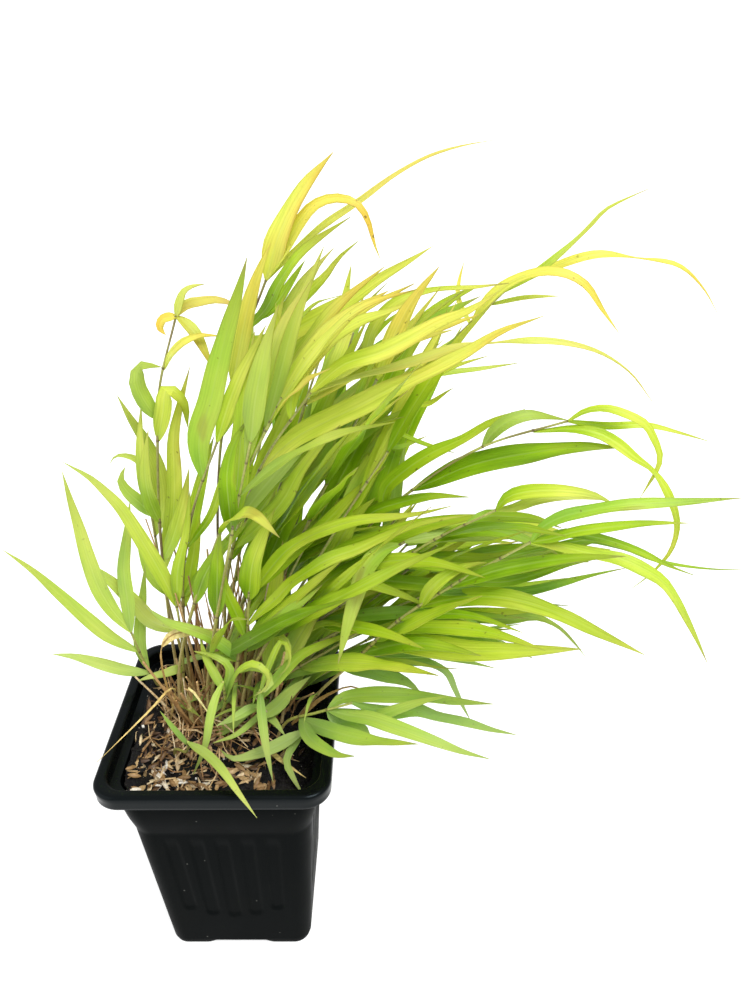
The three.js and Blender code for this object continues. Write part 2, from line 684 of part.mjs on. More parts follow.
    blades: [
      [8.4, 6, [328, 710, 340, 699, 361, 695, 392, 694, 422, 696, 453, 701, 494, 704]],
      [6, -10, [328, 710, 350, 714, 376, 716, 398, 709, 422, 701, 448, 696]],
      [7.4, -18, [328, 710, 346, 715, 369, 718, 392, 725, 415, 733, 438, 742, 461, 751, 490, 759]],
      [8.4, -6, [300, 717, 315, 725, 338, 733, 361, 738, 384, 741, 418, 744]],
      [7, 10, [352, 703, 375, 710, 392, 713, 415, 710, 438, 716, 468, 722, 491, 729, 517, 735]],
      [6.2, -16, [300, 717, 309, 736, 323, 747, 338, 755, 354, 756]],
      [6, -22, [328, 710, 338, 721, 354, 722, 366, 730, 371, 742]],
    ],
  },
  {
    name: 'stem_small_golden',
    foot: [-33, 37],
    path: [
      [172, 640, 42], [163, 560, 44], [158, 500, 45], [158, 440, 46], [158, 400, 46],
      [163, 366, 46], [167, 335, 46], [176, 316, 46],
    ],
    blades: [
      [4, -4, [176, 316, 180, 300, 185, 290, 193, 286, 204, 284]],
      [5.2, 6, [176, 316, 185, 305, 200, 301, 215, 299, 240, 306]],
      [5.2, -8, [176, 316, 185, 322, 193, 330, 200, 342, 212, 368]],
      [5, -2, [175, 318, 162, 320, 160, 328, 166, 335]],
      [4.6, 4, [163, 366, 172, 352, 185, 340, 198, 335, 222, 336]],
      [8, -6, [158, 418, 145, 400, 137, 380, 140, 366, 162, 367]],
      [7.6, 8, [158, 440, 163, 412, 168, 388, 180, 396, 188, 428]],
      [7, -6, [159, 525, 150, 500, 145, 462, 148, 430]],
      [7.4, 8, [163, 560, 176, 530, 184, 500, 189, 468]],
    ],
  },
  {
    name: 'stem_left_upper',
    foot: [-27, 41],
    path: [
      [178, 640, 47], [168, 600, 50], [157, 560, 51], [153, 517, 52], [148, 490, 52],
      [144, 470, 52],
    ],
    blades: [
      [5.6, 4, [153, 510, 143, 475, 140, 440, 141, 403]],
      [8.6, -12, [156, 535, 162, 500, 157, 465, 145, 440, 130, 418, 117, 395]],
      [3.6, -4, [148, 485, 138, 460, 125, 455, 115, 456, 110, 463]],
      [6.6, 8, [153, 517, 140, 503, 128, 492, 121, 480, 125, 467]],
      [8, -6, [162, 575, 172, 520, 174, 470, 174, 440, 180, 405, 190, 366]],
      [6, 10, [166, 594, 152, 575, 141, 545, 133, 518]],
    ],
  },
  {
    name: 'stem_left_outer',
    foot: [-42, 27],
    path: [[160, 690, 26], [150, 677, 24], [145, 664, 22], [138, 650, 20], [131, 632, 18]],
    blades: [
      [6.6, -8, [148, 674, 130, 671, 100, 664, 70, 656, 52, 654]],
      [6, 10, [147, 672, 141, 650, 140, 620, 143, 590, 145, 565]],
      [6.8, -14, [138, 652, 125, 645, 110, 637, 90, 622, 60, 595, 30, 568, 3, 550]],
      [7.6, 4, [131, 632, 112, 610, 100, 590, 90, 562, 80, 530, 70, 500, 62, 471]],
      [6.8, 16, [131, 632, 127, 600, 124, 570, 127, 540, 130, 500]],
    ],
  },
  {
    name: 'stem_left_middle',
    foot: [-33, 22],
    path: [[184, 682, 23], [183, 655, 24], [180, 625, 24], [176, 600, 24]],
    blades: [
      [7.4, -12, [180, 607, 165, 580, 150, 553, 135, 530, 120, 508, 105, 492, 90, 478, 63, 462]],
      [7.8, 6, [184, 630, 168, 628, 150, 620, 135, 603, 120, 588, 100, 572, 80, 559]],
      [5, -12, [189, 672, 181, 669, 164, 673, 148, 677, 138, 681]],
      [6, 10, [180, 607, 178, 570, 186, 530, 190, 490]],
    ],
  },
  {
    name: 'stem_centre',
    foot: [2, 19],
    path: [[246, 665, 17], [247, 640, 14], [247, 612, 12], [249, 590, 10]],
    blades: [
      [6.8, -10, [
        248, 598, 260, 582, 272, 566, 285, 551, 303, 539, 330, 528, 356, 521, 392, 517, 420, 513,
        451, 506,
      ]],
      [6.8, -20, [
        247, 625, 260, 612, 276, 598, 289, 584, 308, 571, 330, 559, 356, 550, 383, 537, 420, 523,
        470, 515,
      ]],
      [10.6, 6, [248, 600, 252, 562, 263, 535, 275, 508]],
      [6, -6, [247, 640, 236, 612, 225, 585, 222, 560]],
      [8.6, -24, [247, 645, 262, 626, 285, 607, 305, 590, 325, 573, 342, 560]],
      [8, 14, [249, 592, 268, 575, 290, 553, 325, 522, 355, 492, 385, 466]],
      [5, -14, [247, 650, 262, 640, 282, 626, 300, 613]],
    ],
  },
  {
    name: 'stem_olive_centre',
    foot: [11, 27],
    path: [[268, 660, 22], [300, 615, 16], [335, 582, 10], [370, 559, 6], [405, 542, 3]],
    blades: [
      [7.8, -18, [400, 545, 385, 549, 370, 563, 357, 594, 347, 625, 338, 664]],
      [6.2, 8, [405, 542, 440, 536, 480, 535, 530, 536, 560, 540]],
      [6.6, -6, [370, 559, 400, 562, 440, 566, 490, 563]],
      [6.8, 14, [335, 582, 370, 580, 420, 583, 475, 590, 520, 589]],
      [6.6, -14, [300, 615, 330, 590, 350, 580, 390, 590, 440, 612]],
    ],
  },
  {
    name: 'stem_front_left',
    foot: [-9, 9],
    path: [[226, 712, 4], [224, 696, 0], [223, 682, -4]],
    blades: [
      [4, -14, [223, 682, 217, 694, 211, 715, 206, 742, 193, 775]],
      [4.2, 6, [224, 694, 228, 664, 212, 655, 194, 651]],
      [4.6, -8, [224, 700, 232, 682, 242, 668, 256, 664, 268, 674, 264, 690, 254, 696]],
      [4.4, 10, [223, 690, 214, 672, 205, 655, 200, 638]],
    ],
  },
  {
    name: 'stem_front_right',
    foot: [8, 6],
    path: [[262, 722, 1], [262, 706, -3], [260, 690, -7]],
    blades: [
      [4.4, -26, [260, 690, 261, 708, 265, 743, 273, 782]],
      [4.8, -12, [262, 706, 250, 709, 239, 715, 216, 726]],
      [3.2, -22, [262, 712, 250, 724, 239, 733, 213, 743]],
      [6.8, 6, [262, 720, 274, 708, 290, 692, 311, 676]],
      [6.2, 12, [261, 698, 285, 670, 300, 656, 331, 641, 366, 628]],
      [3, 2, [260, 692, 268, 668, 284, 640, 290, 652, 287, 668, 279, 676]],
    ],
  },
  {
    name: 'stem_front_low',
    foot: [30, -6],
    path: [[303, 738, -10], [304, 731, -12]],
    blades: [
      [6.2, -8, [304, 731, 281, 743, 256, 753, 231, 758, 221, 750]],
      [3.8, -22, [303, 735, 286, 762, 292, 776, 304, 796]],
    ],
  },
  {
    name: 'stem_front_edge',
    foot: [-28, -8],
    path: [[187, 752, -16], [188, 742, -20]],
    blades: [
      [4.8, -46, [188, 742, 206, 754, 223, 771, 239, 793, 257, 818]],
      [2.8, -4, [188, 744, 173, 727, 160, 711]],
    ],
  },
];

// Dry leaves and straws of last year that grow from the crown: [width, back, line], as above, but the
// line's first two numbers are the foot's x and y.
const DRY_BLADES = [
  [2.2, 6, [-34, 18, 178, 632, 200, 631, 223, 629]],
  [1.6, -20, [-36, 14, 168, 690, 152, 708, 140, 720, 97, 762]],
  [2, -18, [-22, 10, 192, 690, 205, 708, 219, 729]],
  [1.8, -30, [-14, 8, 200, 740, 182, 752, 168, 764]],
  [2.6, -26, [20, 6, 271, 749, 289, 766, 306, 778]],
  [2.2, -16, [30, 14, 337, 690, 349, 686, 364, 690, 376, 695]],
];

// ---------------------------------------------------------------- stems placed by rule

// The heart of the clump, as it shows on the sighting grid. Blades of the inner stems end in it.
const HEART = [
  [185, 560], [196, 510], [214, 430], [226, 370], [250, 318], [272, 290], [300, 262], [330, 240],
  [376, 262], [436, 262], [470, 292], [497, 300], [470, 330], [445, 355], [430, 385], [405, 425],
  [388, 455], [375, 492], [430, 500], [520, 520], [590, 535], [640, 555], [590, 572], [545, 585],
  [590, 622], [540, 632], [565, 648], [500, 668], [440, 676], [360, 690], [300, 700], [230, 690],
  [190, 640],
];
// where light shows between the stems on the grid: across, down, half width and half height
const OPENINGS = [
  [191, 474, 12, 17], [264, 450, 18, 26], [268, 496, 12, 18], [247, 543, 15, 22], [208, 548, 13, 20],
  [204, 608, 17, 26], [165, 540, 12, 20], [303, 514, 9, 16], [312, 580, 18, 13], [402, 547, 16, 11],
  [392, 606, 16, 12], [361, 643, 24, 12], [234, 598, 18, 30],
];
// where along a blade the openings are kept
const OPEN_SHARES = [0.1, 0.2, 0.3, 0.4, 0.5, 0.6, 0.7, 0.8, 0.9, 1];
const INNER_STEMS = 24;
// where inner stems end on the grid, from the upright ones to those that lie over to the right
const INNER_ENDS = [
  [232, 440], [250, 400], [275, 365], [300, 345], [330, 330], [360, 340], [385, 370], [385, 410],
  [375, 450], [370, 490], [395, 520], [430, 535], [450, 560], [440, 590], [410, 620], [385, 645],
];
const CROWN_SEEN = [245, 665]; // the crown on the grid
const SHORT_REACH = 0.5; // of every third inner stem
const INNER_BACK = [-10, 84]; // how far back inner stems may end
const INNER_BLADES = 7;
const INNER_LENGTH = [92, 150];
const INNER_WIDTH = [7.4, 11];
const HAND_TRIES = 16;
const RULE_TRIES = 90;

function insideHeart([across, down]) {
  let inside = false;
  for (let i = 0, j = HEART.length - 1; i < HEART.length; j = i++) {
    const [xi, yi] = HEART[i];
    const [xj, yj] = HEART[j];
    if ((yi > down) !== (yj > down) && across < (xj - xi) * (down - yi) / (yj - yi) + xi) {
      inside = !inside;
    }
  }
  return inside;
}

function staysOpen(chain) {
  return stationsOn(chain, OPEN_SHARES).every(({ place }) => {
    const [across, down] = seenAt(place);
    return OPENINGS.every(([u, v, halfWidth, halfHeight]) => (
      ((across - u) / halfWidth) ** 2 + ((down - v) / halfHeight) ** 2 > 1
    ));
  });
}

const UP = new THREE.Vector3(0, 0, 1);

// The way a blade's upper face looks: up, and by `lean` towards the light in front.
function facingOf(place, lean) {
  return EYE.clone().sub(place).normalize().multiplyScalar(lean).add(UP).normalize();
}

function footPoints([x, y]) {
  return [
    new THREE.Vector3(x, y, SOIL_TOP - STEM_FOOT_DEPTH),
    new THREE.Vector3(x, y, SOIL_TOP + 3),
  ];
}

function handAxis({ foot, path }) {
  return stemAxis(chainThrough([...footPoints(foot), ...path.map(placed)]));
}

function placeInCrown(random) {
  const angle = between(random, 0, 2 * Math.PI);
  const out = Math.sqrt(random());
  return [CROWN.x + CROWN.rx * out * Math.cos(angle), CROWN.y + CROWN.ry * out * Math.sin(angle)];
}

function innerAxis(index, attempt) {
  const random = chance(1000 + index * 137 + attempt);
  const share = (index + 0.5) / INNER_STEMS * (INNER_ENDS.length - 1);
  const near = Math.floor(share);
  const reach = index % 3 === 1 ? SHORT_REACH : 1;
  const end = [0, 1].map((i) => {
    const far = THREE.MathUtils.lerp(INNER_ENDS[near][i], INNER_ENDS[near + 1][i], share - near);
    return THREE.MathUtils.lerp(CROWN_SEEN[i], far, reach) + between(random, -22, 22);
  });
  const foot = placeInCrown(random);
  const back = foot[1] * 0.5 + between(random, ...INNER_BACK) * 0.8 * reach;
  const top = placed([...end, back]);
  const points = footPoints(foot);
  const rise = points[1].distanceTo(top) * between(random, 0.05, 0.12);
  const middle = points[1].clone().lerp(top, 0.5).addScaledVector(UP, rise);
  return stemAxis(chainThrough([...points, middle, top]));
}

function nearestOn(axis, across, down) {
  let best = null;
  let least = Infinity;
  for (const { place } of stationsOn(axis, evenShares(60))) {
    const [a, d] = seenAt(place);
    const off = Math.hypot(a - across, d - down);
    if (off < least) {
      least = off;
      best = place;
    }
  }
  return best;
}

// A line on the grid as places, from a root: it leaves the root's depth evenly by `back`.
function drawnFrom(root, line, back, swell) {
  const marks = [seenAt(root)];
  for (let i = 2; i < line.length; i += 2) {
    marks.push([line[i], line[i + 1]]);
  }
  const reach = [0];
  for (let i = 1; i < marks.length; i++) {
    reach.push(reach[i - 1] + Math.hypot(marks[i][0] - marks[i - 1][0], marks[i][1] - marks[i - 1][1]));
  }
  return marks.map((mark, i) => {
    const share = reach[i] / reach[marks.length - 1];
    return i ? placed([...mark, root.y + back * share - swell * Math.sin(Math.PI * share)]) : root;
  });
}

// How a blade laid out by hand gives way at each try: nearer or further at its tip, or swollen.
const giveWay = (attempt) => ({
  bend: Math.ceil(attempt / 2) * (attempt % 2 ? 7 : -7),
  swell: (attempt % 3) * 3,
});

function spansFor(marks) {
  if (marks < 7) {
    return 4;
  }
  return marks < 10 ? 5 : 7;
}

function handBlade(root, [width, back, line], seed, attempt) {
  const random = chance(seed);
  const { bend, swell } = giveWay(attempt);
  const points = drawnFrom(root, line, back + bend, swell);
  return {
    chain: chainThrough(points),
    width,
    facing: facingOf(points[points.length - 1], 1.1),
    roll: [between(random, -16, 16), between(random, -22, 22)],
    spans: spansFor(points.length),
  };
}

function innerBlade(axis, index, number, attempt) {
  const random = chance(50000 + index * 997 + number * 101 + attempt);
  const last = number === INNER_BLADES - 1;
  const share = THREE.MathUtils.lerp(0.26, 1, number / (INNER_BLADES - 1));
  const [{ place: root, along }] = stationsOn(axis, [share]);
  const sideways = along.clone().cross(facingOf(root, 0.7)).normalize()
    .applyAxisAngle(along, radians(between(random, -60, 60)));
  const spread = radians(last ? between(random, -10, 10) : between(random, 14, 36));
  const heading = along.clone().multiplyScalar(Math.cos(spread))
    .addScaledVector(sideways, Math.sin(spread) * (number % 2 ? 1 : -1));
  const length = between(random, ...INNER_LENGTH) * (last ? 0.8 : 1);
  const droop = between(random, 0.06, 0.36);
  const points = [0, 0.3, 0.65, 1].map((s) => (
    root.clone().addScaledVector(heading, length * s).addScaledVector(UP, -droop * length * s * s)
  ));
  return {
    chain: chainThrough(points),
    width: between(random, ...INNER_WIDTH),
    facing: facingOf(points[3], between(random, 0.3, 1.2)),
    roll: [between(random, -20, 20), between(random, -30, 30)],
    spans: 3,
    tip: points[3],
  };
}

// A dry stalk left standing, which leans away from the middle of the crown.
function stubbleAxis(index, attempt) {
  const random = chance(90000 + index * 211 + attempt);
  const [x, y] = placeInCrown(random);
  const height = between(random, 14, 66);
  const lean = new THREE.Vector3(
    (x - CROWN.x) / CROWN.rx * 0.3 + between(random, -0.15, 0.2),
    (y - CROWN.y) / CROWN.ry * 0.25 + between(random, -0.2, 0.2),
    1,
  );
  const foot = new THREE.Vector3(x, y, SOIL_TOP - 2);
  return [foot, foot.clone().addScaledVector(lean, height / 2), foot.clone().addScaledVector(lean, height)
    .add(new THREE.Vector3(between(random, -3, 3), 0, 0))];
}

// ---------------------------------------------------------------- growing the clump

// Keeps what already stands, and says whether a new solid is clear of everything but its own.
class Ground {
  constructor() {
    this.standing = [];
  }

  add(owner, solid) {
    this.standing.push({ owner, solid, box: solid.boundingBox() });
  }

  clear(owner, solid, gap) {
    const box = solid.boundingBox();
    const near = (other) => [0, 1, 2].every((i) => (
      box.min[i] <= other.box.max[i] + gap && box.max[i] >= other.box.min[i] - gap
    ));
    return this.standing.every((other) => (
      other.owner === owner || !near(other) || solid.minGap(other.solid, gap + 0.1) >= gap
    ));
  }

  // The first of the tries that is clear, kept as its owner's; null if none is.
  settle(owner, tries, gap, make) {
    for (let attempt = 0; attempt < tries; attempt++) {
      const solid = make(attempt);
      if (solid && this.clear(owner, solid, gap)) {
        this.add(owner, solid);
        return { solid, attempt };
      }
    }
    return null;
  }

  // The same for a blade, whose free part also keeps clear of its own stem's other blades.
  settleBlade(owner, tries, planOf) {
    return this.settle(owner, tries, CLEAR, (attempt) => {
      const plan = planOf(attempt);
      return plan && this.clear(null, blade(plan, FREE_FROM), 0.05) ? blade(plan) : null;
    });
  }
}

function raiseStems(ground) {
  const stems = [];
  const raise = (name, tries, axisOf, more) => {
    const tubeOf = (attempt) => stemTube(axisOf(attempt), 0, 0);
    const found = ground.settle(name, tries, STEM_CLEARANCE + CLEAR, tubeOf);
    if (!found) {
      throw new Error(`${name} meets another stem`);
    }
    const axis = axisOf(found.attempt);
    const hole = stemTube(axis, STEM_CLEARANCE, STEM_CLEARANCE);
    stems.push({ name, axis, hole, parts: [found.solid], ...more });
  };
  for (const plan of LAID_OUT) {
    raise(plan.name, 1, () => handAxis(plan), { blades: plan.blades });
  }
  for (let index = 0; index < INNER_STEMS; index++) {
    const name = `stem_inner_${String(index + 1).padStart(2, '0')}`;
    raise(name, 200, (attempt) => innerAxis(index, attempt), { index });
  }
  return stems;
}

function growBlades(ground, stems) {
  const keep = (stem, tries, make) => {
    const found = ground.settleBlade(stem.name, tries, make);
    if (found) {
      stem.parts.push(found.solid);
    }
  };
  const laidOut = stems.filter(({ blades }) => blades);
  const longest = Math.max(...laidOut.map(({ blades }) => blades.length));
  for (let number = 0; number < longest; number++) {
    laidOut.forEach((stem, index) => {
      const plan = stem.blades[number];
      if (plan) {
        const root = nearestOn(stem.axis, plan[2][0], plan[2][1]);
        const seed = 300 + index * 41 + number;
        keep(stem, HAND_TRIES, (attempt) => handBlade(root, plan, seed, attempt));
      }
    });
  }
  for (let number = 0; number < INNER_BLADES; number++) {
    for (const stem of stems.filter(({ blades }) => !blades)) {
      keep(stem, RULE_TRIES, (attempt) => {
        const plan = innerBlade(stem.axis, stem.index, number, attempt);
        return insideHeart(seenAt(plan.tip)) && staysOpen(plan.chain) ? plan : null;
      });
    }
  }
}

// Dry blades and stubble, which are fused to the soil that they stand in.
function dryGrowth(ground) {
  const dry = [];
  const keep = (owner, tries, make) => {
    const found = ground.settle(owner, tries, CLEAR, make);
    if (found) {
      dry.push(found.solid);
    }
  };
  DRY_BLADES.forEach((plan, index) => {
    const [x, y] = plan[2];
    const root = new THREE.Vector3(x, y, SOIL_TOP - 2);
    keep('soil', HAND_TRIES, (attempt) => blade(handBlade(root, plan, 900 + index, attempt)));
  });
  for (let index = 0; index < STUBBLE_COUNT; index++) {
    keep('soil', RULE_TRIES, (attempt) => stubble(stubbleAxis(index, attempt)));
  }
  return dry;
}

// ---------------------------------------------------------------- the whole plant

const BLACK_PLASTIC = 0x1d2022;
const PEAT = 0x2a2019;
const LIME = 0xa3bf2c;
const GOLD = 0xd2c02a;
const GOLDEN_STEMS = ['stem_tall_left', 'stem_high_right', 'stem_small_golden'];

const group = new THREE.Group();
const ground = new Ground();
const potSolid = pot();
ground.add('pot', potSolid);
const stems = raiseStems(ground);
const litteredSoil = soilWithHulls();
ground.add('soil', litteredSoil);
growBlades(ground, stems);
const soil = largestBody(joined([litteredSoil, ...dryGrowth(ground)])
  .subtract(joined(stems.map(({ hole }) => hole))));

group.add(meshOf('pot', potSolid, BLACK_PLASTIC, 0.45));
group.add(meshOf('soil', soil, PEAT, 0.95));
for (const stem of stems) {
  const color = GOLDEN_STEMS.includes(stem.name) ? GOLD : LIME;
  group.add(meshOf(stem.name, largestBody(joined(stem.parts)), color, 0.6));
}

export default group;
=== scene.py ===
"""Japanese forest grass in its black square nursery pot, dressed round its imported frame.

The pot, the potting mix and every leafy stem are rebuilt as fine meshes where the frame's plain
solids stand. Layout is worked out in millimetres and meshes are written in metres.
"""

from math import atan2, ceil, cos, degrees, dist, exp, hypot, log, pi, radians, sin, sqrt

import bmesh
import bpy
import numpy as np
from bpy.props import FloatProperty, FloatVectorProperty, IntProperty, PointerProperty
from mathutils import Matrix, Vector
from mathutils.bvhtree import BVHTree
from mathutils.kdtree import KDTree
from mathutils.noise import noise


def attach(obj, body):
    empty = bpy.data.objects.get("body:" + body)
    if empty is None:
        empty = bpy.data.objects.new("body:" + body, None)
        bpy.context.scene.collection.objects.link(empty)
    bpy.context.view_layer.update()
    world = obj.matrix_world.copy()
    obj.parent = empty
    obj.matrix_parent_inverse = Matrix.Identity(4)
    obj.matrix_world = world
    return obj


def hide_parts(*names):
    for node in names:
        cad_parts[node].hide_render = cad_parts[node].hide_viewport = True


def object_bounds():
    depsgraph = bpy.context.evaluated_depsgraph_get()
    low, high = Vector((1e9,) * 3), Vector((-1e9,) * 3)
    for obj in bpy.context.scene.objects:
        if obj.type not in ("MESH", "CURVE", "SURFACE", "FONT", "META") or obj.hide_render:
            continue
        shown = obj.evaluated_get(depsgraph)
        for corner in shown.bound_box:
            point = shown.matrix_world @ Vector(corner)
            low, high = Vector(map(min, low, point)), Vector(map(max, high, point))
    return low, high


bl_info = {
    "name": "Potted Forest Grass",
    "version": (1, 0, 0),
    "blender": (4, 5, 0),
    "location": "3D View > Sidebar > Forest Grass",
    "description": "Grows a clump of Japanese forest grass in its square nursery pot",
    "category": "Add Mesh",
}

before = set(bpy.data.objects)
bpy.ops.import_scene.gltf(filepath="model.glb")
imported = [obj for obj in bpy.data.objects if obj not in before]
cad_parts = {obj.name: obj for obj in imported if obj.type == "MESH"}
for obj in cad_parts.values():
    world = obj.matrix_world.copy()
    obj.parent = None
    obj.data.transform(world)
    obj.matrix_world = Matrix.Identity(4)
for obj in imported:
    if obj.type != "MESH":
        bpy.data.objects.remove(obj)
CAD_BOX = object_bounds()
BODY = "root"
MM = 0.001


def linear(code):
    """An sRGB hex colour such as "a3bf2c" as linear red, green, blue and alpha."""
    channels = [int(code[i:i + 2], 16) / 255 for i in (0, 2, 4)]
    curve = [c / 12.92 if c <= 0.04045 else ((c + 0.055) / 1.055) ** 2.4 for c in channels]
    return (*curve, 1.0)


# ---------------- sizes and colours to change

class PotSettings(bpy.types.PropertyGroup):
    flute_depth: FloatProperty(
        name="Flute depth", description="How deep the upright flutes lie in the walls",
        default=0.6 * MM, min=0, max=2 * MM, unit="LENGTH", precision=4)
    plastic: FloatVectorProperty(
        name="Plastic", description="Colour of the moulded plastic", subtype="COLOR", size=4,
        min=0, max=1, default=linear("080a0a"))


class MixSettings(bpy.types.PropertyGroup):
    crumbs: IntProperty(
        name="Crumbs", description="Crumbs of peat and bark on the surface",
        default=1500, min=0, max=3000)
    straws: IntProperty(
        name="Straws", description="Fine dead roots and straws that lie tangled at the crown",
        default=150, min=0, max=600)
    more_stalks: IntProperty(
        name="More dry stalks", description="Dry stalks in the crown beyond those of the frame",
        default=90, min=0, max=200)
    peat: FloatVectorProperty(
        name="Peat", description="Colour of the moist peat", subtype="COLOR", size=4,
        min=0, max=1, default=linear("070505"))


class GrassSettings(bpy.types.PropertyGroup):
    blade_step: FloatProperty(
        name="Blade step", description="Length of one row of faces along a blade",
        default=4.5 * MM, min=2 * MM, max=20 * MM, unit="LENGTH", precision=4)
    blade_thickness: FloatProperty(
        name="Blade thickness", description="Thickness of a blade",
        default=0.28 * MM, min=0.1 * MM, max=MM, unit="LENGTH", precision=5)
    fill_blades: IntProperty(
        name="Fill blades", description="Blades that each inner stem may add where there is room",
        default=6, min=0, max=10)
    crown_blades: IntProperty(
        name="Crown blades", description="Short young blades low on the stems",
        default=34, min=0, max=120)


class StudioSettings(bpy.types.PropertyGroup):
    lens: FloatProperty(
        name="Lens", description="Focal length of the camera", default=33.216, min=10, max=200,
        unit="CAMERA")
    daylight: FloatProperty(
        name="Daylight", description="Strength of the even light all round", default=0.82, min=0,
        max=5)
    window: FloatProperty(
        name="Window", description="Strength of the broad high light", default=2.75, min=0, max=10)


# ---------------- the pot's driving dimensions, mm

POT_HEIGHT = 137.4
RIM_HALF = 57.5
FLOOR_Z = 4.0
FLOOR_THICK = 1.6
WALL = 1.5
WALL_PROFILE = [
    # half width, z, corner radius of the outer face, from the feet up to the lip
    (36.4, 0, 7),
    (37.9, 1.2, 8),
    (38.7, 4, 8.5),
    (45.4, 98.6, 10.5),
    (47.8, 109, 11.5),
    (49.2, 119, 12),
    (49.5, 129.3, 12),
]
LIP_DROP = 8.4
LIP_SKIRT = 1.4
LIP_TOP_WIDTH = 5.8
FLUTES_EACH_WAY = 2  # of the middle one
FLUTE_SPACING = 13.0
FLUTE_WIDTH = 8.2
FLUTE_TOP_Z = 96.0
FLUTE_END_Z = 27.0  # of the middle flute
FLUTE_END_RISE = 1.6  # of its neighbours
FLUTE_FADE = 9.0  # over which a flute runs out at its upper end
FLUTE_FLANKS = (0.9, 1.9)  # the left flank is crisp and the right one soft
ARCH_HALF = 19.0
ARCH_FLAT_HALF = 10.0
DRAIN_RADIUS = 4.0
DRAIN_OUT = 24.0
PAD_HALF = 9.0

# ---------------- the clump's driving dimensions, mm

SOIL_TOP = 116.0
SOIL_EDGE = 110.5
SOIL_GAP = 0.3
CROWN_X, CROWN_Y, CROWN_RX, CROWN_RY = -1.0, 25.0, 35.0, 19.0
HULL_COUNT = 32
HULL_LENGTH, HULL_WIDTH, HULL_THICK = 8.2, 3.0, 1.9
STUBBLE_COUNT = 22
STUBBLE_RADIUS = 0.8
STEM_FOOT_DEPTH = 9.0
STEM_SPAN = 42.0
FRAME_STEM_RADIUS = (1.3, 0.9)
BLADE_ROOT = 1.3
BLADE_WIDEST = 0.28
BLADE_BREADTH = 1.1  # a living blade to the frame's plain one
